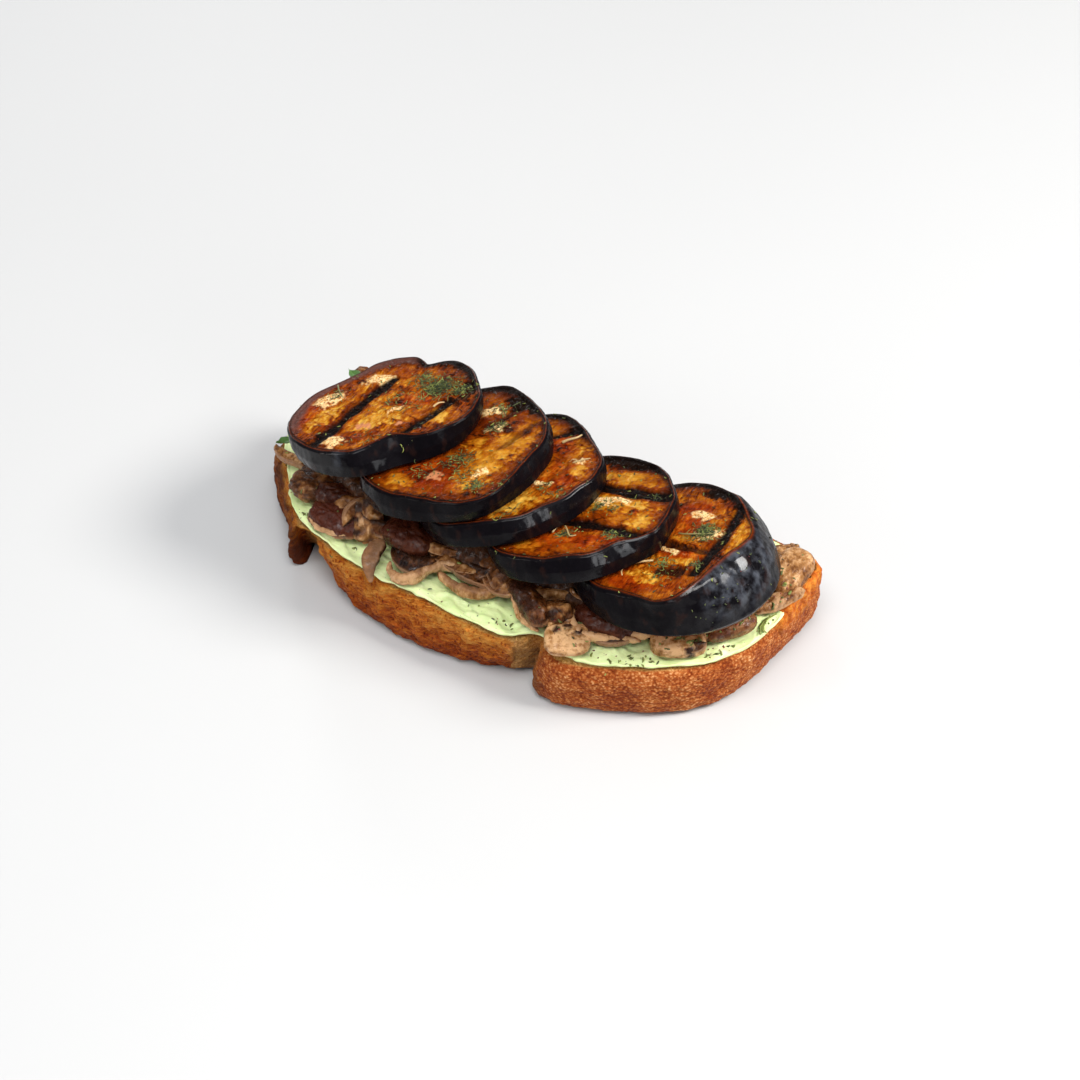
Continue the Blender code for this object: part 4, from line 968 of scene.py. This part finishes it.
def clear_of_slices(points, gap=0.35):
    """Points that would be in a slice, or over it, go to just outside or just under it."""
    for spec in SLICES:
        matrix = FRAMES[spec[0]]
        local = (points - np.array(matrix.translation)) @ np.array(matrix.to_3x3())
        thick = thickness_at(spec, local[:, 0])
        near = (np.hypot(local[:, 0], local[:, 1]) < 48) & (local[:, 2] > -thick - gap)
        picked, thick = local[near], thick[near]
        degrees = np.degrees(np.arctan2(picked[:, 1], picked[:, 0])) % 360
        radius = np.hypot(*slice_edge(spec, degrees, np.clip(-picked[:, 2] / thick, 0, 1))) + gap
        reach, down_by = np.hypot(picked[:, 0], picked[:, 1]), picked[:, 2] + thick + gap
        inside = radius > reach
        outwards = inside & (radius - reach < 0.45 * down_by) & (picked[:, 2] < 2)
        picked[:, :2] *= np.where(outwards, radius / np.maximum(reach, 1), 1)[:, None]
        picked[:, 2] -= down_by * (inside & ~outwards)
        local[near] = picked
        if near.any():
            points = placed(local, matrix)
    return points


# ---------------------------------------------------------------- mushrooms


def placement(x, y, z, turn, lean, roll=0, spin=0):
    matrix = Matrix.Translation((x, y, z))
    for degrees, axis in ((turn, "Z"), (lean, "X"), (roll, "Y"), (spin, "Z")):
        matrix = matrix @ Matrix.Rotation(math.radians(degrees), 4, axis)
    return matrix


def on_mound(x, share):
    """Where the back of the mound is at this x and share of its height: y, z, turn and lean."""
    half = HEAP_LENGTH / 2 * (1.02 - share ** HEAP_STEEPNESS[0])
    at = min(abs(x - HEAP_MIDDLE[0]) / half, 0.93)
    side = HEAP_WIDTH / 2 * (1.02 - share ** HEAP_STEEPNESS[1])
    steep = side * at**1.5 * (1 - at**2.5) ** -0.6 / half
    flat = HEAP_WIDTH / 2 * HEAP_STEEPNESS[1] * max(share, 0.1) ** (HEAP_STEEPNESS[1] - 1)
    turn, lean = math.atan(math.copysign(steep, -x)), -math.atan2(HEAP_RISE, flat)
    return side * (1 - at**2.5) ** 0.4, SPREAD_TOP + HEAP_RISE * share, math.degrees(turn), math.degrees(lean)


def caps_behind():
    """Whole small caps along the back of the heap, in the form of MUSHROOM_LUMPS."""
    rng = random.Random(41)
    for i in range(13):
        x = -76 + 12.2 * i + rng.uniform(-3.5, 3.5)
        y, z, turn, _ = on_mound(x, rng.choice((0.05, 0.12, 0.3)))
        half = rng.uniform(5, 8.5), rng.uniform(3.6, 5.4), rng.uniform(2.6, 4.2)
        tone, redness = rng.choice((0.18, 0.30, 0.42, 0.52, 0.64)), rng.choice((0, 0.3, 0.8))
        rim, turn = rng.choice((0, 0, 0.7, 1)), turn + rng.uniform(-40, 40)
        yield x, y - 0.5, z + 2, half, turn, rng.uniform(-40, -5), tone, redness, rim, ()


def strips_behind():
    """Curled strips lying against the back of the heap, in the form of MUSHROOM_STRIPS."""
    rng = random.Random(43)
    for i in range(7):
        x, bend, rise = -62 + 20 * i + rng.uniform(-4, 4), rng.uniform(1, 3), rng.uniform(-0.05, 0.10)
        points = []
        for k in range(5):
            y, z = on_mound(x + 4.5 * k, 0.10 + 0.05 * k * rise)[:2]
            points.append((x + 4.5 * k, y + 1.5 + bend * (k % 2), z + 4.2 * rise * k + rng.uniform(-1, 1)))
        height, thickness = rng.uniform(3.4, 4.6), (rng.uniform(2.2, 3.4), rng.uniform(2.2, 3.4))
        yield points, height, thickness, rng.uniform(0.5, 0.8)


def mushrooms_behind():
    """Slices all over the back of the heap, in the form of MUSHROOMS_SHOWN without the tone."""
    rng = random.Random(7)
    for share, count in ((0.06, 7), (0.26, 9), (0.44, 9), (0.62, 6)):
        for i in range(count):
            x = -82 + 160 * (i + 0.5 + rng.uniform(-0.25, 0.25)) / count
            y, z, turn, lean = on_mound(x, share + rng.uniform(-0.05, 0.05))
            kind = rng.choice(("cap", "whole", "cap", "strip", "stem"))
            turn, lean = turn + rng.uniform(-22, 22), lean + rng.uniform(-12, 30)
            width, spin = rng.uniform(12, 20), rng.uniform(-180, 180)
            yield x, y + 1, z, width, turn, lean, spin, rng.uniform(0.2, 0.7), kind


def mushrooms_between():
    """Slices that fill the band between the named ones, close to the core, under the eggplant."""
    rng = random.Random(23)
    for i in range(14):
        share = (i + 0.5) / 14
        x = -76 + 158 * share + rng.uniform(-2.5, 2.5)
        y = -21 - 6.5 * math.sin(math.pi * share) + rng.uniform(-1.5, 1.5)
        turn, z = 180 + rng.uniform(-40, 40), 32 + rng.uniform(-1, 2)
        width, kind = rng.uniform(14, 19), ("strip", "cap", "stem", "cap", "strip")[i % 5]
        yield x, y, z, width, turn, rng.uniform(-70, -45), 0, 0.5, kind


def mushroom_edges(kind, t):
    """Upper and lower edge of a slice of unit half width, at t across it."""
    arch = np.sqrt(np.maximum(0, 1 - t * t))
    if kind == "strip":
        return 0.42 * arch + 0.05, 0.12 * arch - 0.06
    if kind == "stem":
        half = 0.34 - 0.08 * t + 0.08 * t * t
        return half, -half
    gills = 0.10 - 0.30 * t * t
    if kind == "whole":
        gills = gills + (-0.78 - 0.06 * arch - gills) * smooth(0.36, 0.26, np.abs(t))
    return 0.86 * arch - 0.08 * np.abs(t), gills


def mushroom_slice(kind, width, curl, seed, fine):
    """A fried slice as two sheets joined round the edge: points, faces and masks."""
    across = np.sin(np.linspace(-math.pi / 2, math.pi / 2, int(42 * fine)))
    along = 0.5 - 0.5 * np.cos(np.linspace(0, math.pi, int(20 * fine)))
    u, v = np.meshgrid(across, along, indexing="ij")
    high, low = mushroom_edges(kind, u * 0.995)
    x, y = u * width / 2, (low + (high - low) * v) * width / 2
    edge = (1 - np.abs(u) ** 7) * (1 - np.abs(2 * v - 1) ** 6)
    wobble = 1.3 * fractal(grid(x, y, 0), 7.5, seed, 2)
    grain = fractal(grid(x, y, 0) * (1.6, 0.7, 1), 1.6, seed + 1)
    gilled = kind in ("cap", "whole")
    rim = smooth(0.80, 0.93, v) if gilled else smooth(0.78, 0.96, v)
    gill = smooth(0.36, 0.12, v) * gilled
    if kind == "whole":
        gill = gill * smooth(0.26, 0.40, np.abs(u))
    stripes = np.sin(u * 46 + 3 * wobble) * gill
    half = 0.6 * MUSHROOM_THICKNESS * np.sqrt(np.maximum(edge, 0))
    half = half + (0.65 * rim - 0.30) * smooth(0, 0.5, edge)
    half = half + (0.24 * grain + 0.22 * stripes) * smooth(0, 0.4, edge)
    middle = 0.12 * y * curl + 0.9 * wobble - curl * (x / width) ** 2 * width * 0.5
    index = np.arange(x.size).reshape(x.shape)
    quads = np.stack([index[:-1, :-1], index[1:, :-1], index[1:, 1:], index[:-1, 1:]], axis=-1).reshape(-1, 4)
    loop = np.concatenate([index[:, 0], index[-1, 1:], index[-2::-1, -1], index[0, -2:0:-1]])
    ahead = np.roll(loop, -1)
    skirt = np.stack([loop, loop + x.size, ahead + x.size, ahead], axis=-1)
    faces = np.concatenate([quads, quads[:, ::-1] + x.size, skirt]).tolist()
    masks = {"rim": rim, "gill": np.clip(gill + 0.25 * stripes, 0, 1), "tone": 0.5 + 0.16 * (wobble + grain)}
    masks = {key: np.tile(values.ravel(), 2) for key, values in masks.items()}
    return grid(x, y, np.stack([middle + half, middle - half])).reshape(-1, 3), faces, masks


def ringed(rows, masks):
    """A ringed shape as points, faces and masks, which get one value at the two end points."""
    shape, end = rows.shape[:2], 0.3
    masks = {key: np.append(np.broadcast_to(values, shape), (end, end)) for key, values in masks.items()}
    return with_ends(rows), ring_faces(*shape), masks


def mushroom_lump(half, redness, rim, wrinkled, spots, seed):
    """A whole small cap, shrunk and wrinkled by frying, sometimes with a pale rim."""
    polar = np.linspace(0.02, math.pi - 0.02, 28)[:, None]
    turn = np.linspace(0, 2 * math.pi, 54, endpoint=False)
    unit = grid(np.sin(polar) * np.cos(turn), np.sin(polar) * np.sin(turn), -np.cos(polar))
    unit = signed(unit, 0.86 if wrinkled > 0.5 else 0.68)
    flat = unit * half
    grain, lumps = fractal(flat, 1.9, seed), fractal(flat, 6.5, seed + 1, 2)
    crease = smooth(0.82, 0.98, 1 - np.abs(gradient_noise(flat, 4.2, seed + 2)))
    band = rim * smooth(0.12, -0.10, unit[..., 2]) * smooth(-0.62, -0.40, unit[..., 2])
    strings = fractal(flat * ((0.3, 1.2, 1.2) if half[0] > half[1] else (1.2, 0.3, 1.2)), 1.5, seed + 3, 2)
    push = wrinkled * (0.22 * grain + 0.9 * lumps - 0.45 * crease) + 0.7 * band + 0.16 * strings
    points = unit * (np.array(half) + push[..., None])
    stain = 0 * grain
    for x, y, size in spots:
        off = np.hypot(points[..., 0] - x, points[..., 1] - y) + 0.7 * grain
        stain = np.maximum(stain, smooth(size, 0.5 * size, off))
    return ringed(points, {
        # the gill mask here also darkens the wrinkles' creases, which is painted shade; the spots are the
        # cap's own dark stains
        "rim": band, "maroon": redness * (1 - band), "gill": np.maximum(0.7 * wrinkled**2 * crease, stain),
        "tone": 0.5 + 0.14 * grain + 0.16 * lumps + 0.35 * band + 0.16 * strings,
    })


def mushroom_strip(anchors, height, thickness, seed):
    """A narrow curled strip, standing on its edge: the flesh of a cap round its gills."""
    rows = np.array(anchors, float)
    path = spline([2 * rows[0] - rows[1], *rows, 2 * rows[-1] - rows[-2]], 15)
    way = np.gradient(path, axis=0)
    way /= np.linalg.norm(way, axis=1, keepdims=True)
    side = np.cross(way, (0, 0, 1))
    side /= np.linalg.norm(side, axis=1, keepdims=True)
    up = np.cross(side, way)
    lean = 0.5 * gradient_noise(path, 9, seed)[:, None]
    side, up = side * np.cos(lean) + up * np.sin(lean), up * np.cos(lean) - side * np.sin(lean)
    half = 0.5 * np.sin(math.pi * np.clip(np.linspace(0, 1, len(path)), 0.004, 0.996)) ** 0.35
    half = (half * (1 + 0.30 * gradient_noise(path, 5, seed + 1)))[:, None]
    angle = np.linspace(0, 2 * math.pi, 22, endpoint=False)
    c, s = signed(np.cos(angle), 0.6), signed(np.sin(angle), 0.6)
    across, tall = np.linspace(*thickness, len(path))[:, None] * half * c, height * half * s
    points = path[:, None] + side[:, None] * across[..., None] + up[:, None] * tall[..., None]
    grain = fractal(points, 1.7, seed + 2)
    nicks = np.maximum(gradient_noise(path, 2.2, seed + 4), 0)[:, None]
    points = points + side[:, None] * (0.30 * c * grain)[..., None]
    points = points - up[:, None] * (0.9 * s * nicks)[..., None]
    # painted light: 0.15 * c makes one side of each strip lighter and the other darker, and the pale rim
    # along its top edge is a painted highlight
    tone = 0.5 + 0.14 * grain + 0.15 * c + 0.16 * gradient_noise(path, 6, seed + 5)[:, None]
    return ringed(points, {"rim": 0.6 * smooth(0.2, 0.9, s), "gill": 0.5 * smooth(-0.5, -1, s), "tone": tone})


def build_mushrooms(material):
    rng = random.Random(3)
    slices, caps = [], []
    hidden = [(*row, rng.uniform(0.34, 0.66)) for row in (*mushrooms_behind(), *mushrooms_between())]
    for i, (x, y, z, width, turn, lean, roll, curl, kind, tone) in enumerate([*MUSHROOMS_SHOWN, *hidden]):
        shown = i < len(MUSHROOMS_SHOWN)
        part = mushroom_slice(kind, width, curl, 300 + 5 * i, 1 if shown else 0.7)
        slices.append((part, placement(x, y, z, turn, lean, roll * shown, roll * (not shown)), tone, False))
    for i, (x, y, z, half, turn, lean, tone, *kind, spots) in enumerate([*MUSHROOM_LUMPS, *caps_behind()]):
        wrinkled = 1 if tone < 0.6 else 0.8 if kind[1] > 0.5 else 0.14
        part = mushroom_lump(half, *kind, wrinkled, spots, 600 + 5 * i)
        caps.append((part, placement(x, y, z, turn, lean), tone, False))
    for i, (anchors, height, thickness, tone) in enumerate([*MUSHROOM_STRIPS, *strips_behind()]):
        part = mushroom_strip(anchors, height, thickness, 700 + 5 * i)
        slices.append((part, Matrix.Identity(4), tone, i == 0))
    made = (("mushroom_slices", slices), ("mushroom_caps", caps))
    return [lay_mushrooms(name, rows, material) for name, rows in made]


def lay_mushrooms(name, made, material):
    """Puts the mushrooms down on the spread, clear of the slices above them, as one mesh."""
    points, faces, masks, start = [], [], {"rim": [], "gill": [], "tone": [], "maroon": []}, 0
    floor = SPREAD_TOP + GAP
    for k, ((part, part_faces, part_masks), matrix, tone, over_edge) in enumerate(made):
        part = placed(part, matrix)
        if not over_edge:
            least = floor - 0.35 + 0.25 * gradient_noise(part, 3, k)
            rounded = least + 1.1 * np.exp(np.minimum(part[:, 2] - least - 1.2, 0) / 1.6)
            part[:, 2] = np.where(part[:, 2] < least + 1.2, rounded, part[:, 2])
        part = clear_of_slices(part)
        if not over_edge:
            part[:, 2] = np.maximum(part[:, 2], floor - 0.6)
        points.append(part)
        faces += [[index + start for index in face] for face in part_faces]
        part_masks["tone"] = part_masks["tone"] + tone - 0.5
        for key, values in masks.items():
            values.append(part_masks.get(key, np.zeros(len(part))))
        start += len(part)
    joined = {key: np.concatenate(values) for key, values in masks.items()}
    points = np.concatenate(points) + SHIFT
    return mesh_piece(name, points, faces, material, ["mushroom_heap"], joined)


def build_core(material):
    """The lumpy mound of fried mushrooms under the slices that show."""
    share = np.linspace(0, 1, 34)[:, None]
    angle = np.linspace(0, 2 * math.pi, 220, endpoint=False)
    c, s = np.cos(angle), np.sin(angle)
    ends, sides = (1.02 - share**power for power in HEAP_STEEPNESS)
    x = HEAP_MIDDLE[0] + signed(c, 0.8) * ends * HEAP_LENGTH / 2
    y = HEAP_MIDDLE[1] + signed(s, 0.8) * sides * HEAP_WIDTH / 2
    lump = 2 * ripples(x, y, 20 * share, 11, 12) + 1.2 * ripples(x, y, 20 * share, 6, 13)
    rows = grid(x + lump * c, y + lump * s, SPREAD_TOP + HEAP_RISE * share + lump * np.minimum(1, 4 * share))
    grain = fractal(rows, 4, 61)
    flat = clear_of_slices((rows + grain[..., None] * (0.6, 0.6, 0.4)).reshape(-1, 3), 0.6)
    flat[:, 2] = np.maximum(flat[:, 2], SPREAD_TOP - 0.4)
    masks = {"rim": 0, "gill": 0.5 * smooth(-0.1, 0.5, grain), "tone": 0.30 + 0.16 * grain}
    return ring_piece("mushroom_core", flat.reshape(rows.shape), material, [], masks)


# ---------------------------------------------------------------- herbs, spices and leaves


class Scatter:
    """Collects many small closed shapes into one mesh."""

    def __init__(self):
        self.points, self.faces, self.tone, self.count = [], [], [], 0

    def add(self, points, faces, tone):
        self.points.append(points)
        self.faces += [[k + self.count for k in face] for face in faces]
        self.tone.append(np.full(len(points), tone))
        self.count += len(points)

    def put_down(self, shape, tone, hit, rng, lift=0, steepest=0.5):
        """Adds a shape flat on the surface that a ray hit, turned at random, if it isn't too steep."""
        spot, normal, _ = hit
        if normal.z < steepest:
            return
        turn = Matrix.Rotation(rng.uniform(0, 2 * math.pi), 3, "Z")
        turn = turn @ Matrix.Rotation(rng.uniform(-0.25, 0.25), 3, "X")
        turn = normal.to_track_quat("Z", "Y").to_matrix() @ turn
        self.add(shape[0] @ np.array(turn).T + np.array(spot + normal * lift), shape[1], tone)

    def piece(self, name, material, slot):
        tone = {"tone": np.concatenate(self.tone)}
        return mesh_piece(name, np.concatenate(self.points), self.faces, material, [], tone)


def shred(rng, length, width, thickness=0.22):
    """A bent, pointed leaf shred lying on its XY plane."""
    bend, twist, rise = rng.uniform(-0.5, 0.5), rng.uniform(-0.5, 0.5), rng.uniform(0, 0.35)
    t = np.linspace(0, 1, 4)
    half = width / 2 * (0.18 + np.sin(math.pi * np.minimum(1, 0.1 + 0.85 * t)) ** 0.8)
    arc = 2 * length * (t - 0.5) ** 2
    sides = [grid(length * (t - 0.5), bend * arc + k, rise * arc + twist * k) for k in (-half, half)]
    top = np.stack(sides, axis=1).reshape(-1, 3)
    faces = []
    for a in (0, 2, 4):
        faces += [[a, a + 2, a + 3, a + 1], [a + 8, a + 9, a + 11, a + 10]]
        faces += [[a, a + 8, a + 10, a + 2], [a + 1, a + 3, a + 11, a + 9]]
    return np.concatenate([top + (0, 0, thickness), top]), [*faces, [0, 1, 9, 8], [6, 14, 15, 7]]


def crumb(rng, size):
    """A small angular grain."""
    base = np.array([(0, 0, 1), (0.9, 0, 0), (0, 0.9, 0), (-0.9, 0, 0), (0, -0.9, 0), (0, 0, -1)])
    base += np.array([[rng.uniform(-0.25, 0.25) for _ in range(3)] for _ in range(6)])
    base *= np.array((rng.uniform(0.7, 1.3), rng.uniform(0.5, 1), rng.uniform(0.35, 0.6))) * size / 2
    return base, [[0, 1, 2], [0, 2, 3], [0, 3, 4], [0, 4, 1], [5, 2, 1], [5, 3, 2], [5, 4, 3], [5, 1, 4]]


def drop_on(trees, origin, direction):
    """Nearest hit of a ray on any of the surfaces, in millimetres: spot, normal and distance."""
    hits = [tree.ray_cast(Vector(origin) * MM, direction, 0.2) for tree in trees]
    hits = [(spot / MM, normal, far) for spot, normal, _, far in hits if spot is not None]
    return min(hits, key=lambda hit: hit[2], default=None)


def build_herbs(surfaces, green, dark, red):
    rng = random.Random(11)
    graph = bpy.context.evaluated_depsgraph_get()
    trees = [BVHTree.FromObject(piece, graph) for piece in surfaces]
    herbs, specks, sumac = Scatter(), Scatter(), Scatter()
    down, shift = Vector((0, 0, -1)), Vector(SHIFT)
    patches = [(FRAMES[name], *row) for name, rows in HERB_PATCHES.items() for row in rows]
    for matrix, x, y, radius, count in patches:
        for _ in range(int(2.4 * count)):
            angle = rng.uniform(0, 2 * math.pi)
            away = radius * min(1.3, 0.42 * math.sqrt(-2 * math.log(1 - rng.random())))
            spot = matrix @ Vector((x + away * math.cos(angle), y + away * math.sin(angle), 0))
            hit = drop_on(trees, Vector((spot.x, spot.y, ABOVE)) + shift, down)
            if hit is None or hit[0].z < 26:
                continue
            length = rng.choice((rng.uniform(0.3, 0.9), rng.uniform(0.6, 1.8), rng.uniform(1.4, 3.4)))
            shape, tone = shred(rng, length, rng.uniform(0.12, 0.30), 0.10), rng.random() ** 2.2
            herbs.put_down(shape, tone, hit, rng, rng.uniform(0, 0.7) * (count > 60))

    # single shreds and specks everywhere on top
    for kind, count in ((herbs, 300), (specks, 900), (sumac, 120)):
        for _ in range(count):
            hit = drop_on(trees, (rng.uniform(-99, 101), rng.uniform(-48, 46), ABOVE), down)
            if hit is None or hit[0].z < 17:
                continue
            if kind is herbs:
                shape = shred(rng, rng.uniform(0.5, 1.5), rng.uniform(0.2, 0.4))
                herbs.put_down(shape, rng.random() ** 1.8, hit, rng)
            else:
                shape = crumb(rng, rng.uniform(0.25, 0.55) if kind is specks else rng.uniform(0.3, 0.8))
                kind.put_down(shape, rng.random(), hit, rng, 0.05)

    # the edge of the spread, thickest at its right end
    outline = crust_outline(600)[:, :2]
    inward = -outward(outline)
    front = np.flatnonzero((outline[:, 0] > -90) & (outline[:, 1] < 20))
    for _ in range(640):
        k, far = front[rng.randrange(len(front))], 3 + abs(rng.gauss(0, 5.5))
        if rng.random() > 0.12 + smooth(48, 85, outline[k, 0]):
            continue
        hit = drop_on(trees[:4], (*(outline[k] + inward[k] * far + SHIFT[:2]), UNDER_SLICES), down)
        if hit is None or not 20 < hit[0].z < 34:
            continue
        draw = rng.random()
        if draw < 0.5:
            shape = shred(rng, rng.uniform(0.6, 2), rng.uniform(0.4, 0.8))
            herbs.put_down(shape, rng.uniform(0.2, 0.8), hit, rng)
        elif draw < 0.85:
            sumac.put_down(crumb(rng, rng.uniform(0.5, 1.1)), rng.random(), hit, rng, 0.1)
        else:
            specks.put_down(crumb(rng, rng.uniform(0.3, 0.6)), rng.random(), hit, rng, 0.05)

    # flecks on the wedge's wide right side
    spec, matrix = SLICES[-1], FRAMES["eggplant_5"]
    for _ in range(26):
        degrees, depth = rng.uniform(-50, 10), rng.uniform(0.12, 0.8)
        x, y = (float(value) for value in slice_edge(spec, np.float64(degrees % 360), np.float64(depth)))
        out = matrix.to_3x3() @ Vector((*turned_by(degrees), 0.2))
        hit = drop_on(trees, matrix @ Vector((x, y, -thickness_at(spec, x) * depth)) + shift + 9 * out, -out)
        if hit is not None:
            shape = shred(rng, rng.uniform(0.4, 1), rng.uniform(0.2, 0.4), 0.12)
            herbs.put_down(shape, rng.uniform(0, 0.25), hit, rng, 0, -0.6)

    # one long blade on the spread, in three strands
    for k in range(3):
        points, faces = shred(rng, 11.5 - 3 * k, 0.8, 0.3)
        turn = np.array(Matrix.Rotation(math.radians(88 + 14 * k), 3, "Z"))
        hit = drop_on(trees[:4], (93.6 + 0.6 * k, -0.6 - k, UNDER_SLICES), down)
        if hit is not None and hit[0].z < 30:
            herbs.add(points @ turn.T + np.array(hit[0]) + (0, 0, 0.6), faces, 0.75)
    herbs.piece("herb_shreds", green, "green_leaf")
    specks.piece("pepper_specks", dark, "fried_mushroom")
    sumac.piece("sumac_flakes", red, "fried_mushroom")


def build_stalks(material):
    scatter, sides = Scatter(), 7
    angle = 2 * math.pi * np.arange(sides) / sides
    stalks = [(FRAMES[name], *row) for name, rows in STALKS.items() for row in rows]
    for matrix, points, radius, tone in stalks:
        points = [np.array(matrix @ Vector(p) + Vector(SHIFT)) for p in points]
        fine = spline([points[0], *points, points[-1]], 6)
        last = len(fine) - 1
        rows = []
        for i, spot in enumerate(fine):
            way = Vector(fine[min(i + 1, last)] - fine[max(i - 1, 0)]).normalized()
            taper = radius * (1 - 0.55 * i / len(fine)) * (0.5 if i in (0, last) else 1)
            ring = grid(taper * np.cos(angle), taper * np.sin(angle), 0)
            rows.append(spot + ring @ np.array(way.to_track_quat("Z", "Y").to_matrix()).T)
        scatter.add(with_ends(np.array(rows)), ring_faces(len(fine), sides), tone)
    return scatter.piece("herb_stalks", material, "green_leaf")


def leaf_material():
    g = Graph("green_leaf", 0.42)
    vein = g.noise(2, 4, 0.6)
    colour = g.mix(vein, (0.035, 0.10, 0.018), (0.13, 0.26, 0.06))
    return g.finish(Base_Color=colour, Normal=g.bump(vein, 0.3, 0.7))


def build_leaf(node, material):
    """The CAD leaf, rounded off, pointed and finely creased."""
    bm = bmesh.new()
    bm.from_mesh(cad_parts[node].data)
    bmesh.ops.remove_doubles(bm, verts=bm.verts, dist=1e-6)
    bmesh.ops.subdivide_edges(bm, edges=bm.edges, cuts=2, use_grid_fill=True)
    bmesh.ops.smooth_vert(bm, verts=bm.verts, factor=0.4, use_axis_x=True, use_axis_y=True, use_axis_z=True)
    points = np.array([v.co for v in bm.verts]) / MM
    faces = [[v.index for v in face.verts] for face in bm.faces]
    bm.free()
    middle = points.mean(axis=0)
    axes = np.linalg.svd(points - middle, full_matrices=False)[2]
    local = (points - middle) @ axes.T
    along, side = (local[:, k] / np.abs(local[:, k]).max() for k in (0, 1))
    local[:, 1] *= 1 - 0.85 * smooth(0.35, 1, np.abs(along)) + 0.10 * np.sin(9 * along)
    local[:, 2] *= 1 - 0.5 * np.abs(side)
    local[:, 2] += 0.5 * np.abs(side) * np.sign(axes[2, 2])
    points = local @ axes + middle
    points[:, 2] += 0.12 * gradient_noise(points, 1.5, 71)
    return mesh_piece(node + "_green", points, faces, material, [node])


# ---------------------------------------------------------------- stage


def build_stage():
    bpy.ops.mesh.primitive_plane_add(size=4, location=(0, 0, -0.0002))
    floor = bpy.context.object
    floor.name = "floor"
    g = Graph("pale_floor", 0.55)
    tint = g.mix(g.noise(400, 2), (0.53, 0.528, 0.52), (0.56, 0.558, 0.55))
    floor.data.materials.append(g.finish(Base_Color=tint))

    bpy.context.scene.view_settings.view_transform = "Standard"
    world = bpy.data.worlds.new("soft_sky")
    world.use_nodes = True
    nodes, links = world.node_tree.nodes, world.node_tree.links
    split, ramp = nodes.new("ShaderNodeSeparateXYZ"), nodes.new("ShaderNodeValToRGB")
    ramp.color_ramp.elements[0].color = (0.05, 0.055, 0.065, 1)
    ramp.color_ramp.elements[1].color = (0.50, 0.52, 0.56, 1)
    links.new(nodes.new("ShaderNodeTexCoord").outputs["Generated"], split.inputs[0])
    links.new(split.outputs["Z"], ramp.inputs["Fac"])
    links.new(ramp.outputs["Color"], nodes["Background"].inputs["Color"])
    bpy.context.scene.world = world
    for name, spot, size, energy, colour in LAMPS:
        light = bpy.data.lights.new(name, "AREA")
        light.shape, light.size, light.energy, light.color = "DISK", size, energy, colour
        lamp = bpy.data.objects.new(name, light)
        lamp.location = spot
        lamp.rotation_euler = (Vector((0, 0, 0.03)) - Vector(spot)).to_track_quat("-Z", "Y").to_euler()
        bpy.context.scene.collection.objects.link(lamp)


def build_camera():
    (c, s), (flat, up) = turned_by(AZIMUTH), turned_by(ELEVATION)
    back = Vector((s * flat, -c * flat, up))
    aim = Vector(AIM) + back.cross(Vector((c, s, 0))) * AIM_RAISED + Vector(SHIFT) * MM
    lens = bpy.data.cameras.new("camera")
    lens.lens, lens.sensor_width = FOCAL_LENGTH, SENSOR
    camera = bpy.data.objects.new("camera", lens)
    camera.location = aim + back * DISTANCE
    camera.rotation_euler = back.to_track_quat("Z", "Y").to_euler()
    bpy.context.scene.collection.objects.link(camera)
    bpy.context.scene.camera = camera


build_camera()
build_stage()

eggplant, mushroom, leaf_green = eggplant_material(), mushroom_material(), leaf_material()
bread = build_bread(crust_material())
spread = build_spread(spread_material())
slices = [build_slice(spec, eggplant) for spec in SLICES]
mushrooms = build_mushrooms(mushroom)
build_core(mushroom)
for node in ("leaf_left", "leaf_back"):
    build_leaf(node, leaf_green)
build_herbs(
    [bread, spread, *mushrooms, *slices],
    shred_material("dry_herbs", (0.010, 0.018, 0.003), (0.27, 0.31, 0.060), 0.6),
    shred_material("cracked_pepper", (0.010, 0.007, 0.006), (0.09, 0.045, 0.02), 0.5),
    shred_material("sumac", (0.10, 0.006, 0.006), (0.30, 0.035, 0.022), 0.45),
)
build_stalks(shred_material("pale_stalks", (0.07, 0.13, 0.03), (0.62, 0.40, 0.18), 0.4))
